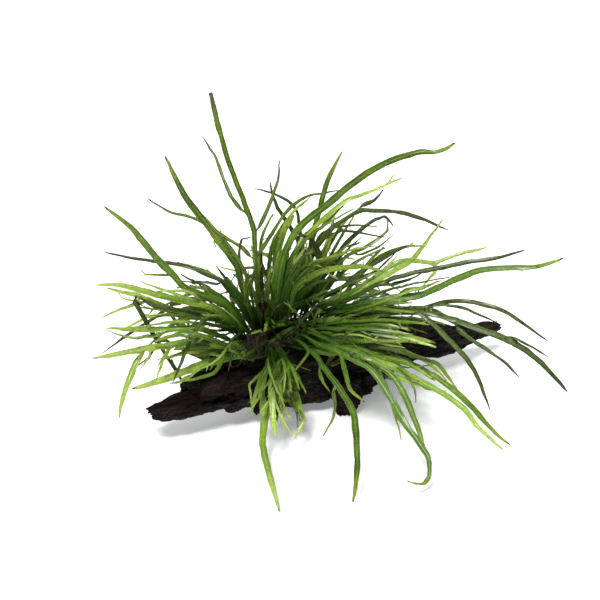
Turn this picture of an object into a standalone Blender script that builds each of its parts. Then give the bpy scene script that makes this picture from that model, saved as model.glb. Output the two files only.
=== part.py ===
"""A java fern growing on a piece of driftwood.

The driftwood, the creeping rhizomes and each frond are separate closed solids. Lengths are in
millimetres until a mesh is made, and +Z is up. The origin is the middle of the front foot's sole.

The fronds were laid out from the front. A place is written as it looks from there: how far across
and how far up it is in an upright plane through the origin, and how far back it really lies.
"""

import math
from collections import namedtuple

import bmesh
import bpy
import numpy as np
from mathutils import Vector
from mathutils.bvhtree import BVHTree
from mathutils.noise import noise

MM = 0.001

# The line of sight that the layout was read along, and the place that it is aimed at.
SIGHT_TILT = math.radians(27.0)
SIGHT_RANGE = 1000.0
SIGHT_AIM = (-27.0, 66.0)
TOWARD = np.array([0.0, -math.cos(SIGHT_TILT), math.sin(SIGHT_TILT)])
UPWARD = np.array([0.0, math.sin(SIGHT_TILT), math.cos(SIGHT_TILT)])
EYE = np.array([SIGHT_AIM[0], 0.0, 0.0]) + SIGHT_AIM[1] * UPWARD + SIGHT_RANGE * TOWARD
# The way that blades face: between the front and the light above.
FACING = TOWARD + np.array([0.0, 0.0, 0.55])
FACING /= np.linalg.norm(FACING)
FACING_PULL = 0.05
# The most that blades roll and twist, in degrees, and how those change from frond to frond.
MOST_ROLL = 14.0
MOST_TWIST = 24.0
ROLL_STEP = 2.3
TWIST_STEP = 1.7

# Gaps and thicknesses.
JOINT_GAP = 0.35
GROUND_CLEARANCE = 1.6
BLADE_CREST = 0.28
BLADE_KEEL = 0.42
PETIOLE_HALF_WIDTH = 0.7
PETIOLE_DEPTH = 0.7
STALK_LENGTH = 12.0
TIP_HALF_WIDTH = 0.35
# A short frond's stalk is this share of it. The blade widens from and up to these shares of the stalk.
STALK_SHARE = 0.25
WIDENING = (0.3, 2.0)
# From where a frond and a lobe narrow to the tip, and where that ellipse would end, as shares.
FROND_ROUNDING = (0.6, 1.03)
LOBE_ROUNDING = (0.3, 1.04)
# Strips narrower than this are thinner too, down to a least share.
FULL_THICKNESS_FROM = 1.1
LEAST_THICKNESS = 0.45
RHIZOME_RADIUS = 2.0

# A smooth line: fine points between two places, and the power of their gap that a knot stands for.
FINE_POINTS = 12
KNOT_POWER = 0.5
# Spacing of the points that a frond is worked out at, and of the stations that its solid has.
SAMPLE_STEP = 3.0
FIRST_STATION = 6.5
MAIN_STATION = 24.0
LOBE_STATION = 18.0
TURN_PER_STATION = 39.0
CLOSEST_STATION = 4.5
TIP_LENGTH = 0.9
# Room kept at a blade's ends and between its lobes' joints.
END_ROOM = 5.0
FORK_ROOM = 1.6
# How far a lobe's first section is clear of its midrib's blade, or else how far along the lobe it is.
LOBE_CLEARANCE = 0.5
LATEST_RING = 0.6
# A joint's half length along the midrib, and the least sine of the fork's angle that it is sized by.
CROTCH_ROOM = 1.0
LEAST_REACH = 1.5
MOST_REACH = 4.0
FLATTEST_FORK = 0.3

# How the fronds are eased apart: how near two count as lying over each other, the room that they
# then keep in depth, the share of their half widths added for tilted blades, and the room to the
# wood. A frond that loops over itself is eased where so many samples lie between.
OVERLAP_SLACK = 2.0
PASSING_GAP = 1.3
TILT_SHARE = 0.45
BARRIER_GAP = 1.0
DEEPEST = 12.0
# A surface that leans more than this from the sight faces away, and counts as leaning at least so much.
FACING_AWAY = 0.1
LEAST_LEAN = 0.4
SAME_STRETCH = 6
SAME_CROSSING = 9.0
SMOOTHING = 0.3
DEPTH_ROUNDS = 6
EASE_ROUNDS = 50
SETTLE_ROUNDS = 10
EXTRA_STEP = 0.7
MOST_EXTRA = 2.0
FIRST_FREE = 2.5
MOST_MOVED = 13.0

# Edges that turn more than this stay sharp.
SHARP_FROM = math.radians(35.0)
WOOD_COLOUR = (0.022, 0.013, 0.009)
RHIZOME_COLOUR = (0.05, 0.055, 0.02)


def sighted(across, up, back):
    """The point that is seen at (across, up) from the front and lies back behind the origin."""
    across, up, back = (np.asarray(value, float) for value in (across, up, back))
    seen = np.stack([across, up * UPWARD[1], up * UPWARD[2]], axis=-1)
    reach = (back - EYE[1]) / (seen[..., 1] - EYE[1])
    return EYE + reach[..., None] * (seen - EYE)


def smooth_step(low, high, value):
    share = np.clip((value - low) / (high - low), 0.0, 1.0)
    return share * share * (3 - 2 * share)


def length_along(points, power=1.0):
    """How far along a line each of its points is, with each gap raised to a power."""
    return np.concatenate([[0], np.cumsum(np.linalg.norm(np.diff(points, axis=0), axis=1) ** power)])


def smooth_line(points, step):
    """Points a step apart along a smooth curve through the given ones."""
    points = np.array(points, float)
    knots = length_along(points, KNOT_POWER)
    padded = np.vstack([2 * points[0] - points[1], points, 2 * points[-1] - points[-2]])
    padded_knots = np.concatenate([[2 * knots[0] - knots[1]], knots, [2 * knots[-1] - knots[-2]]])
    fine = []
    for i in range(len(points) - 1):
        k0, k1, k2, k3 = padded_knots[i : i + 4]
        p0, p1, p2, p3 = padded[i : i + 4]
        for k in np.linspace(k1, k2, FINE_POINTS, endpoint=False):
            a1 = ((k1 - k) * p0 + (k - k0) * p1) / (k1 - k0)
            a2 = ((k2 - k) * p1 + (k - k1) * p2) / (k2 - k1)
            a3 = ((k3 - k) * p2 + (k - k2) * p3) / (k3 - k2)
            b1 = ((k2 - k) * a1 + (k - k0) * a2) / (k2 - k0)
            b2 = ((k3 - k) * a2 + (k - k1) * a3) / (k3 - k1)
            fine.append(((k2 - k) * b1 + (k - k1) * b2) / (k2 - k1))
    fine = np.array(fine + [points[-1]])
    along = length_along(fine)
    count = max(4, int(round(along[-1] / step)) + 1)
    at = np.linspace(0, along[-1], count)
    return np.stack([np.interp(at, along, fine[:, k]) for k in range(3)], axis=1)


def point_at(points, along, where):
    return np.stack([np.interp(where, along, points[:, k]) for k in range(points.shape[1])], axis=-1)


def material(name, colour, roughness):
    made = bpy.data.materials.new(name)
    made.use_nodes = True
    shader = made.node_tree.nodes["Principled BSDF"]
    shader.inputs["Base Color"].default_value = (*colour, 1.0)
    shader.inputs["Roughness"].default_value = roughness
    shader.inputs["Metallic"].default_value = 0.0
    return made


def add_solid(name, vertices, faces, finish):
    """A named object with these vertices, given in millimetres."""
    mesh = bpy.data.meshes.new(name)
    mesh.from_pydata([tuple(float(c) * MM for c in v) for v in vertices], [], faces)
    mesh.materials.append(finish)
    mesh.validate()
    made = bpy.data.objects.new(name, mesh)
    bpy.context.scene.collection.objects.link(made)
    return made


def surface_of(vertices, faces):
    """Something to measure distances to, in millimetres."""
    return BVHTree.FromPolygons([Vector(v) for v in vertices], faces)


# Driftwood: across, up and back of its middle, then its half depth and half height.
WOOD_SECTIONS = [
    (-116.0, -2.0, -36, 4.0, 2.6),
    (-108.0, -0.2, -32, 5.4, 3.5),
    (-100.0, 2.6, -28, 6.8, 4.2),
    (-91.1, 5.4, -23, 8.0, 5.0),
    (-89.9, 8.0, -22, 10.4, 7.4),
    (-80.0, 12.2, -17, 12.4, 9.0),
    (-70.0, 16.0, -12, 14.0, 11.2),
    (-55.0, 20.8, -3, 15.8, 14.0),
    (-35.0, 26.8, 9, 18.0, 17.4),
    (-15.0, 29.6, 18, 18.0, 18.6),
    (5.0, 33.6, 28, 16.0, 16.4),
    (25.0, 39.0, 38, 13.0, 12.4),
    (45.0, 42.0, 49, 11.0, 9.6),
    (62.0, 44.0, 58, 9.0, 7.6),
    (78.0, 47.6, 66, 6.5, 4.8),
    (91.5, 51.0, 73, 3.6, 2.4),
]
WOOD_AROUND = 19
WOOD_STATIONS = 23
# Split layers of the grain: where each starts and stops across, the side of the section that it
# is on in degrees from the back over the top, how far round it goes, and its thickness.
WOOD_LAYERS = [
    (-91.0, -20.0, 62, 34, 2.6),
    (-74.0, 20.0, 96, 30, 2.4),
    (-76.0, -50.0, 252, 34, 2.2),
    (-60.0, 30.0, 236, 30, 3.4),
    (-52.0, 70.0, 20, 36, 1.8),
    (28.0, 84.0, 150, 40, 1.6),
]
LAYER_START = 1.2
LAYER_STOP = 9.0
# The share of a layer's spread that is at full thickness.
LAYER_FLAT = 0.7
# Ridges of the grain: how many go round, the height of each as a share, and their drift per millimetre.
GRAIN_RIDGES = [(4, 0.4, 0.010), (7, 0.5, -0.016), (11, 0.45, 0.021)]
GRAIN_PHASE = 1.7
GRAIN_DEPTH = 0.08
FIBRE_CELLS = (6.5, 70.0)
LUMP_CELLS = (1.6, 24.0)
LUMP_DEPTH = 0.16
# The section's corners: 2 is an ellipse, and higher is squarer.
SQUARENESS = 2.6
# How uneven the broken ends are, and how far the left one slants.
END_RAGGED = 2.2
LEFT_END_SLANT = 2.4
# Feet: across and back of the sole's middle, the sole's and the root's radius, and the height.
FEET = [
    ("front", 0.0, 0.0, 5.2, 8.5, 21.0),
    ("second", 11.5, 19.0, 4.6, 8.0, 17.0),
    ("right", 25.0, 43.0, 5.4, 8.0, 17.0),
    ("left", -36.0, 20.0, 6.0, 10.0, 16.0),
]
FOOT_SIDES = 10
# A foot's rings: how high each is and how far its radius is from the sole's to the root's, as shares.
FOOT_RINGS = [(0.0, 0.0), (0.1, 0.22), (0.45, 0.6), (1.0, 1.0)]
FOOT_UNEVEN = 0.2
FOOT_LUMP = 9.0


def wood_noise(turn, across, around, length):
    """Noise on the wood's surface with this many cells around it and this length along it."""
    return noise(Vector((math.cos(turn) * around, math.sin(turn) * around, across / length)))


def wood_radius(turn, across):
    """How far the wood reaches at this angle, as a share of its half depth and half height."""
    grain = 0.0
    for ridges, share, drift in GRAIN_RIDGES:
        grain += share * math.sin(ridges * (turn + drift * across + GRAIN_PHASE))
    fibre = wood_noise(turn, across, *FIBRE_CELLS)
    return 1 + GRAIN_DEPTH * (grain + fibre) + LUMP_DEPTH * wood_noise(turn, across, *LUMP_CELLS)


def wood_layer(turn, across):
    """The thickness that split layers of the grain add at this angle."""
    added = 0.0
    for start, stop, side, spread, thickness in WOOD_LAYERS:
        off = abs((math.degrees(turn) - side + 180) % 360 - 180)
        inside = smooth_step(spread, spread * LAYER_FLAT, off)
        ends = smooth_step(start, start + LAYER_START, across) * smooth_step(stop, stop - LAYER_STOP, across)
        added += thickness * inside * ends
    return added


def wood_body():
    """The driftwood without its feet, as vertices and faces in millimetres."""
    table = np.array(WOOD_SECTIONS)
    middles = np.array([sighted(a, u, b) for a, u, b in table[:, :3]])
    starts = sorted(layer[0] for layer in WOOD_LAYERS if layer[0] > table[0, 0])
    across = list(np.linspace(table[0, 0], table[-1, 0], WOOD_STATIONS))
    for start in starts:
        nearest = min(range(len(across)), key=lambda i: abs(across[i] - start))
        across[nearest] = start
        across.insert(nearest + 1, start + LAYER_START)
    across = sorted(across)
    vertices, faces = [], []
    for row, where in enumerate(across):
        middle = point_at(middles, table[:, 0], where)
        ahead = point_at(middles, table[:, 0], min(where + 6, table[-1, 0]))
        behind = point_at(middles, table[:, 0], max(where - 6, table[0, 0]))
        along = (ahead - behind) / np.linalg.norm(ahead - behind)
        side = np.cross([0.0, 0.0, 1.0], along)
        side /= np.linalg.norm(side)
        rise = np.cross(along, side)
        depth, height = (np.interp(where, table[:, 0], table[:, k]) for k in (3, 4))
        for step in range(WOOD_AROUND):
            turn = 2 * math.pi * step / WOOD_AROUND
            c, s = math.cos(turn), math.sin(turn)
            reach = wood_radius(turn, where)
            reach *= (abs(c) ** SQUARENESS + abs(s) ** SQUARENESS) ** (-1 / SQUARENESS)
            layer = wood_layer(turn, where)
            out = side * c * (depth * reach + layer) + rise * s * (height * reach + layer)
            if row in (0, len(across) - 1):
                slant = LEFT_END_SLANT * s if row == 0 else 0.0
                out += along * (END_RAGGED * noise(Vector((c * 2, s * 2, row))) - slant)
            vertices.append(middle + out)
    for row in range(len(across) - 1):
        for step in range(WOOD_AROUND):
            a, b = row * WOOD_AROUND + step, row * WOOD_AROUND + (step + 1) % WOOD_AROUND
            faces.append((a, a + WOOD_AROUND, b + WOOD_AROUND, b))
    for row, turned in ((0, False), (len(across) - 1, True)):
        ring = [row * WOOD_AROUND + step for step in range(WOOD_AROUND)]
        centre = len(vertices)
        vertices.append(np.mean([vertices[i] for i in ring], axis=0))
        for a, b in zip(ring, ring[1:] + ring[:1]):
            faces.append((centre, b, a) if turned else (centre, a, b))
    return vertices, faces


def wood_foot(across, back, sole, root, height):
    """A stubby tapered foot with a flat sole on the ground."""
    vertices, faces = [], []
    for share, toward_root in FOOT_RINGS:
        z = share * height
        radius = sole + toward_root * (root - sole)
        for step in range(FOOT_SIDES):
            turn = 2 * math.pi * step / FOOT_SIDES
            c, s = math.cos(turn), math.sin(turn)
            reach = radius * (1 + FOOT_UNEVEN * noise(Vector((c + across, s + back, z / FOOT_LUMP))))
            vertices.append(np.array([across + reach * c, back + reach * s, z]))
    for level in range(len(FOOT_RINGS) - 1):
        for step in range(FOOT_SIDES):
            a = level * FOOT_SIDES + step
            b = level * FOOT_SIDES + (step + 1) % FOOT_SIDES
            faces.append((a, b, b + FOOT_SIDES, a + FOOT_SIDES))
    faces.append(tuple(range(FOOT_SIDES))[::-1])
    faces.append(tuple(range((len(FOOT_RINGS) - 1) * FOOT_SIDES, len(FOOT_RINGS) * FOOT_SIDES)))
    return vertices, faces


def facing_out(made):
    shape = bmesh.new()
    shape.from_mesh(made.data)
    bmesh.ops.recalc_face_normals(shape, faces=shape.faces)
    shape.to_mesh(made.data)
    shape.free()


def read_back(made):
    """An object's vertices, in millimetres, and its faces."""
    return [v.co / MM for v in made.data.vertices], [tuple(p.vertices) for p in made.data.polygons]


def join(base, others):
    """Makes one closed body of an object and the others, which it takes in."""
    for other in others:
        joint = base.modifiers.new("join", "BOOLEAN")
        joint.operation = "UNION"
        joint.object = other
    graph = bpy.context.evaluated_depsgraph_get()
    joined = bpy.data.meshes.new_from_object(base.evaluated_get(graph))
    base.modifiers.clear()
    base.data = joined
    for other in others:
        bpy.data.objects.remove(other)


def make_driftwood(finish):
    """The driftwood: a split, tapering body joined to its feet."""
    wood = add_solid("driftwood", *wood_body(), finish)
    feet = [add_solid("foot_" + name, *wood_foot(*sizes), finish) for name, *sizes in FEET]
    for made in (wood, *feet):
        facing_out(made)
    join(wood, feet)
    return surface_of(*read_back(wood))


# Rhizomes: the route of each along the driftwood.
RHIZOMES = {
    "left": [(-67, 32, -1), (-56, 39, 5), (-47, 44, 9), (-36, 49, 14)],
    "right": [(-48, 50, 24), (-37, 53, 26), (-24, 54, 25), (-8, 53, 21)],
    "front": [(-54, 36, -6), (-43, 40, -3), (-33, 42, 1), (-17, 42, 5)],
}
RHIZOME_SIDES = 8
RHIZOME_STEP = 4.0
# Room to the wood, how far the end's point stands out, and how often a route is laid on the wood.
RHIZOME_GAP = 0.5
RHIZOME_POINT = 1.0
LAYING_ROUNDS = 6
KNOB_HEIGHT = 0.1
KNOB_TURN = 2.1
RHIZOME_END = 0.55
# Where the order of a rhizome's fan starts, in degrees, and how far the fan's pivot is below it.
FAN_BREAK = {"left": -90, "right": -90, "front": 90}
PIVOT_DROP = {"left": -14, "right": -14, "front": 12}
# Bases stand in two rows, this share of a radius to each side, from this far in at the ends. A frond
# leaves straight for a first stretch, leaning by this share the way that it goes.
ROW_SPREAD = 0.45
BASE_MARGIN = 1.5
LEAN = 0.7
FIRST_STRETCH = 5.0
YOUNG_ROOT = 0.3
# Nearer than this to its base, a frond's route is left to the way that it leaves the rhizome.
CROWN_RADIUS = 15.0


def rhizome_route(name, wood):
    """The rhizome's middle line, lying on the wood."""
    route = smooth_line([sighted(*place) for place in RHIZOMES[name]], RHIZOME_STEP)
    for _ in range(LAYING_ROUNDS):
        for i, point in enumerate(route):
            hit, normal, _, distance = wood.find_nearest(Vector(point))
            outward = Vector(point) - hit
            if outward.dot(normal) < 0:
                outward = -outward
            outward = np.array((outward.normalized() + normal).normalized())
            route[i] = np.array(hit) + outward * (RHIZOME_RADIUS * (1 + KNOB_HEIGHT) + RHIZOME_GAP)
        route[1:-1] = 0.5 * route[1:-1] + 0.25 * (route[:-2] + route[2:])
    return route


def frames_along(points, facing):
    """Unit tangents, and unit normals as near to facing as the line allows."""
    tangents = np.gradient(points, axis=0)
    tangents /= np.linalg.norm(tangents, axis=1)[:, None]
    normals = facing - (tangents @ facing)[:, None] * tangents
    normals /= np.linalg.norm(normals, axis=1)[:, None]
    return tangents, normals


def make_rhizome(name, route, finish):
    """A knobbly creeping stem with rounded ends."""
    sides = RHIZOME_SIDES
    tangents, normals = frames_along(route, UPWARD)
    vertices, faces = [], []
    last = len(route) - 1
    for row, point in enumerate(route):
        across = np.cross(tangents[row], normals[row])
        knob = 1 + KNOB_HEIGHT * math.sin(KNOB_TURN * row + len(name))
        end = RHIZOME_END if row in (0, last) else 1.0
        for step in range(sides):
            turn = 2 * math.pi * step / sides
            out = across * math.cos(turn) + normals[row] * math.sin(turn)
            vertices.append(point + out * RHIZOME_RADIUS * knob * end)
    for row in range(last):
        for step in range(sides):
            a, b = row * sides + step, row * sides + (step + 1) % sides
            faces.append((a, b, b + sides, a + sides))
    for row, push, turned in ((0, -RHIZOME_POINT, True), (last, RHIZOME_POINT, False)):
        ring = [row * sides + step for step in range(sides)]
        tip = len(vertices)
        vertices.append(route[row] + tangents[row] * push)
        for a, b in zip(ring, ring[1:] + ring[:1]):
            faces.append((tip, b, a) if turned else (tip, a, b))
    made = add_solid("rhizome_" + name, vertices, faces, finish)
    facing_out(made)
    return surface_of(*read_back(made))


# A frond: its tone, the rhizome that it grows from, its blade's full width, how far back its
# middle and its tip lie, its midrib's route as (across, up), and its lobes. A lobe: its full
# width, how far back its tip lies, and its route from a place on the midrib.
Frond = namedtuple("Frond", "name tone rhizome width middle tip route lobes")
Lobe = namedtuple("Lobe", "width tip route")

FRONDS = [
    Frond("tall", "green", "left", 3.3, 22, 48,
          [(-52, 66), (-53.5, 88), (-54.5, 107), (-60, 123), (-66, 139), (-72, 156), (-75, 168),
           (-79, 180), (-81, 190.5)],
          [Lobe(2.2, 60, [(-56, 115), (-64, 122), (-69, 130), (-74, 142), (-79, 154), (-85, 163)]),
           Lobe(2.2, 20, [(-54.2, 105), (-49, 114), (-45, 125), (-40, 139), (-39.5, 149)]),
           Lobe(2.2, 66, [(-53.4, 90), (-48, 99), (-42, 109), (-35, 119), (-25, 127), (-3, 132)]),
           Lobe(2.4, 70, [(-53.2, 84), (-60, 96), (-74, 105), (-90, 115), (-105, 118.5), (-117, 126.5)])]),
    Frond("left_high", "green", "left", 4.6, 2, -4,
          [(-57, 62), (-62, 75), (-64.5, 86), (-74, 99), (-85, 114.5), (-93, 124), (-100, 135),
           (-103, 143), (-107, 150.5)],
          [Lobe(1.6, -6, [(-70, 94), (-79, 102), (-77.5, 98)])]),
    Frond("left_arch", "green", "left", 4.0, -6, -14,
          [(-60, 55), (-72, 63), (-86, 69), (-96, 73.5), (-105, 83), (-114, 92), (-123, 104),
           (-133, 113.5), (-142.5, 120.5)],
          [Lobe(1.6, -2, [(-96, 73.5), (-103, 79.5), (-112, 81.2), (-120.5, 81.3), (-122, 83.5)])]),
    Frond("left_back", "dark", "left", 2.6, 26, 44,
          [(-56, 56), (-66, 66), (-73, 76), (-82, 81), (-92, 85), (-105, 88), (-120, 90), (-130, 91.5),
           (-142.5, 94.5)],
          [Lobe(1.8, 52, [(-72, 75), (-82, 76.6), (-91, 77.4), (-98, 81)])]),
    Frond("left_broad", "pale", "left", 4.4, -24, -42,
          [(-64, 54), (-78, 60.5), (-92, 64.5), (-104, 67), (-114, 69.5), (-126, 73), (-136, 75),
           (-147, 75)],
          [Lobe(2.0, -30, [(-84, 62.5), (-90, 69), (-99, 71.6), (-111, 71)])]),
    Frond("left_fork", "pale", "left", 3.2, -12, -22,
          [(-62, 50), (-76, 55), (-90, 58), (-104, 60.5), (-113, 65), (-121, 67), (-129, 70.5), (-141, 73)],
          [Lobe(1.4, -10, [(-110, 63.4), (-120, 65.5), (-130, 66), (-134, 67), (-135.8, 69.5)]),
           Lobe(2.4, -18, [(-107, 62), (-118, 64.6), (-128, 63), (-135, 60), (-145, 56)])]),
    Frond("left_thin", "pale", "left", 2.4, 4, -2,
          [(-60, 48), (-74, 52), (-88, 55.5), (-100, 57), (-110, 56.8), (-119, 55.5), (-131, 49.3)],
          [Lobe(1.3, 2, [(-110, 56.8), (-118, 56.4), (-122.8, 58.5)])]),
    Frond("left_crossing", "dark", "left", 2.2, 18, 10,
          [(-59, 54), (-72, 62), (-86, 66.5), (-98, 66), (-107, 61), (-117, 53.5), (-130, 45.5), (-144, 35)],
          []),
    Frond("left_pale", "pale", "left", 4.0, -28, -40,
          [(-62, 45), (-74, 48), (-88, 49), (-102, 48.4), (-116, 48.2), (-128, 48.4), (-141, 48.8)],
          [Lobe(2.2, -50, [(-97, 48.6), (-107, 46), (-120, 43.8), (-130, 43.6), (-142.5, 47.8)]),
           Lobe(2.0, -34, [(-80, 48.6), (-92, 52.5), (-104, 52.8), (-119, 50.5)])]),
    Frond("left_wide", "pale", "left", 5.0, -34, -52,
          [(-62, 41), (-76, 42), (-90, 41), (-104, 39), (-118, 37), (-130, 34.6), (-148, 31.5)],
          [Lobe(3.8, -60, [(-112, 38), (-121, 34), (-127, 25), (-131, 14), (-134, 5), (-135.3, -3.4)]),
           Lobe(1.8, -58, [(-104, 39), (-114, 35.5), (-118.5, 31), (-122.5, 25)]),
           Lobe(2.4, -56, [(-95, 40.4), (-105, 36.5), (-109, 30), (-113, 19.8)])]),
    Frond("left_low", "pale", "front", 4.8, -34, -46,
          [(-64, 33), (-73, 31), (-83, 28), (-94, 24), (-105, 20), (-115, 16), (-125.5, 13.4)],
          [Lobe(2.0, -30, [(-70, 31.8), (-80, 34), (-92, 34.6), (-107, 31.4)]),
           Lobe(2.0, -60, [(-85, 27.4), (-93, 20.4), (-102, 16)])]),
    Frond("left_bow", "green", "front", 2.4, -34, -50,
          [(-62, 40.5), (-69, 38), (-73, 31), (-77, 24), (-84, 20), (-92, 18.3), (-103.5, 16)],
          []),
    Frond("left_droop", "dark", "left", 2.4, -22, -58,
          [(-66, 54), (-78, 57), (-86, 53), (-90.5, 46), (-94.5, 39), (-97, 31), (-102.5, 18.5)],
          []),
    Frond("left_inner_a", "green", "left", 3.2, 6, -6,
          [(-60, 51), (-70, 56), (-82, 60), (-94, 61), (-104, 57.5), (-112, 56)],
          [Lobe(2.0, 14, [(-78, 59), (-86, 66), (-94, 72), (-101, 74)])]),
    Frond("left_inner_b", "green", "front", 3.4, -36, -30,
          [(-62, 38), (-72, 39), (-84, 44), (-96, 46), (-106, 44), (-114, 41)],
          [Lobe(2.0, -44, [(-84, 44), (-96, 41), (-106, 36), (-112, 27)])]),
    Frond("left_inner_c", "dark", "left", 2.8, 20, 34,
          [(-58, 52), (-66, 60), (-76, 67), (-88, 70), (-100, 67), (-108, 63)],
          [Lobe(1.8, 40, [(-70, 63), (-80, 72), (-88, 76), (-98, 77)])]),
    Frond("curled_hook", "dark", "left", 2.0, 14, 18,
          [(-56, 58), (-60, 70), (-63, 84), (-63, 96), (-61.5, 102.5), (-57.5, 103.5)],
          [Lobe(1.4, 24, [(-60.6, 73), (-58.5, 79), (-54, 82.3), (-47, 79)])]),
    Frond("wide_upright", "green", "left", 5.2, 30, 40,
          [(-43, 62), (-42, 76), (-41, 90), (-40, 101), (-36, 109), (-31, 116)],
          [Lobe(2.4, 40, [(-41.4, 84), (-37, 96), (-31, 106), (-24, 111)]),
           Lobe(2.0, 50, [(-38, 105.5), (-34, 113), (-30, 120), (-22, 127)])]),
    Frond("crossed_dark", "dark", "right", 2.6, 44, 46,
          [(-30, 68), (-27, 84), (-27.5, 97), (-32, 108), (-38, 118.5), (-43.5, 127.5), (-45.3, 136)],
          [Lobe(2.0, 56, [(-28, 99), (-27.5, 112), (-30, 121), (-38, 127.5), (-53, 132.8)])]),
    Frond("upright_right", "green", "right", 3.6, 54, 70,
          [(-30, 66), (-25, 84), (-20, 100), (-17, 114), (-14.5, 124), (-11, 134), (-7.5, 145),
           (-2.5, 153.5)],
          [Lobe(2.0, 60, [(-19.6, 102), (-13.5, 110), (-7, 117), (0, 124)])]),
    Frond("long_arch", "green", "left", 4.2, 20, 14,
          [(-41, 64), (-39, 82), (-35, 97), (-27, 110), (-14, 120.5), (-3, 130), (9, 139), (22, 147),
           (35, 152), (46, 154.8), (56, 155), (65, 159.5)],
          []),
    Frond("pale_fan", "pale", "right", 3.4, 50, 66,
          [(-33, 64), (-31, 82), (-26, 98), (-18, 110), (-8, 119), (2, 126), (12, 130), (21, 132.5),
           (27, 136.5), (33.5, 139)],
          [Lobe(1.4, 70, [(18, 132), (25, 136.4), (30, 141.5)])]),
    Frond("dark_arch", "dark", "right", 3.0, 46, 54,
          [(-28, 66), (-24, 82), (-17, 98), (-8, 109), (1, 116), (10, 119.7), (20, 120), (31, 118.8),
           (42, 116.3), (50, 112.6), (60, 108.8)],
          [Lobe(2.8, 62, [(-7, 109.8), (3, 119.5), (12, 123.6), (18, 126.5), (22.5, 131.5)])]),
    Frond("loop_upper", "dark", "right", 2.8, 52, 64,
          [(-20, 66), (-13, 80), (-6, 92), (2, 101.5), (10, 109), (18, 114), (24, 115.6), (28.5, 111)],
          [Lobe(1.8, 60, [(-4, 94.5), (1, 97.5), (9, 100.5)])]),
    Frond("loop_lower", "green", "right", 3.0, 46, 60,
          [(-17, 66), (-9, 80), (-2, 90), (6, 95.4), (14, 98.6), (21, 103.6), (26, 108.5), (25.5, 113.5)],
          [Lobe(1.6, 66, [(3, 94), (12, 93.8), (20, 97.8), (28.5, 104.6)])]),
    Frond("pale_upright", "pale", "right", 3.8, 48, 62,
          [(-24, 66), (-18, 76), (-14, 87), (-11.5, 97), (-8.5, 106), (-6.5, 115)],
          []),
    Frond("thin_arc", "dark", "right", 1.9, 40, 34,
          [(-29, 68), (-25, 84), (-20, 96.5), (-11, 104), (-1, 107.4), (9, 106), (22, 104)],
          [Lobe(1.5, 46, [(-20.5, 96), (-14, 105.5), (-4, 110), (6, 110.6), (18, 110.2)])]),
    Frond("bent_dark", "dark", "right", 4.4, 34, 28,
          [(-27, 66), (-20, 75), (-15.5, 86), (-16.5, 96), (-21, 102.6), (-28, 105.5)],
          []),
    Frond("inner_right_a", "green", "left", 3.4, 24, 40,
          [(-36, 64), (-33, 76), (-31, 88), (-28, 99), (-24, 106)],
          [Lobe(2.0, 28, [(-32.8, 77), (-28, 85), (-23, 93), (-18, 98)])]),
    Frond("inner_right_b", "pale", "left", 2.8, 18, 10,
          [(-38, 60), (-36, 70), (-34, 80), (-30, 89), (-25, 96)],
          [Lobe(1.8, 22, [(-35.6, 72), (-37.5, 82), (-37, 91)])]),
    Frond("dark_spray", "dark", "right", 3.2, 46, 60,
          [(-14, 64), (-4, 72), (6, 80.5), (16, 87.5), (26, 92.3), (36.5, 98)],
          [Lobe(1.8, 70, [(0, 75.5), (12, 80.5), (22, 86), (29.5, 94)])]),
    Frond("bow_right", "green", "left", 3.4, 2, -6,
          [(-34, 62), (-30, 72), (-21, 80), (-10, 84), (1, 86), (13, 86), (21, 83.5)],
          [Lobe(1.6, -8, [(-21, 80), (-11, 81.8), (-4.5, 79)])]),
    Frond("pale_point", "pale", "right", 4.0, 36, 32,
          [(-12, 62), (0, 68), (13, 74.6), (25, 81), (34, 86), (41, 91), (48, 99.5), (57.5, 112.5)],
          [Lobe(2.2, 44, [(12, 74), (22, 82), (27, 87.5), (31, 92.5)])]),
    Frond("twisted_tip", "pale", "right", 3.2, 54, 60,
          [(-8, 61), (4, 68.5), (15, 77), (25, 85), (35, 89.3), (46, 89.4), (55, 88.2), (63, 91.5),
           (71, 94.4), (83, 97)],
          [Lobe(2.4, 48, [(42, 89.6), (54, 84.5), (50.5, 79), (47, 74.6)])]),
    Frond("dark_spear", "dark", "right", 3.0, 22, 20,
          [(-10, 60), (2, 66), (13, 72.5), (24, 77), (36, 81), (49, 84), (62, 86), (76, 89.3), (90, 91),
           (106, 95.5)],
          [Lobe(2.4, 30, [(8, 69.8), (20, 73.6), (33, 76.4), (45, 81.5)])]),
    Frond("long_right", "green", "right", 4.8, 14, 2,
          [(-4, 59), (10, 63), (24, 65.5), (38, 67.4), (50, 70.4), (60, 75.4), (71, 80.5), (83, 84),
           (96, 85.6), (110, 85.4), (121, 87.2), (129.5, 90.6)],
          [Lobe(2.8, 26, [(24, 65.5), (36, 71.5), (47, 73.6), (57, 77.5)])]),
    Frond("olive_arch", "dark", "right", 2.8, 4, -16,
          [(-2, 57.5), (12, 60), (26, 61.4), (38, 61), (46, 60.6), (56, 64), (67, 65.6), (79, 64),
           (91, 61.4), (100, 56.5), (119.5, 43)],
          []),
    Frond("right_fork", "dark", "right", 4.2, -6, -30,
          [(4, 57.5), (14, 58), (28, 58.8), (42, 58.8), (54, 57.6), (66, 53.8), (78, 49.4), (91, 44.8),
           (104, 38.6), (116, 30), (131.5, 13)],
          [Lobe(2.0, -22, [(72, 51.6), (86, 49), (99, 44.6), (110, 38.6), (120.3, 32.8)]),
           Lobe(2.2, -2, [(34, 58.8), (48, 61.4), (60, 63), (71, 61), (81, 56.6), (91, 52.4)]),
           Lobe(2.6, -44, [(54, 57.6), (64, 51.4), (73, 44.4), (85, 36), (96, 28.5), (103.8, 20.8)])]),
    Frond("right_droop", "dark", "right", 3.2, -12, -44,
          [(2, 54), (16, 56), (30, 58), (41, 58.6), (49, 55), (57, 47.5), (66, 38.6), (74, 28.6),
           (80.5, 17.5), (86.2, 2.8)],
          []),
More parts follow.
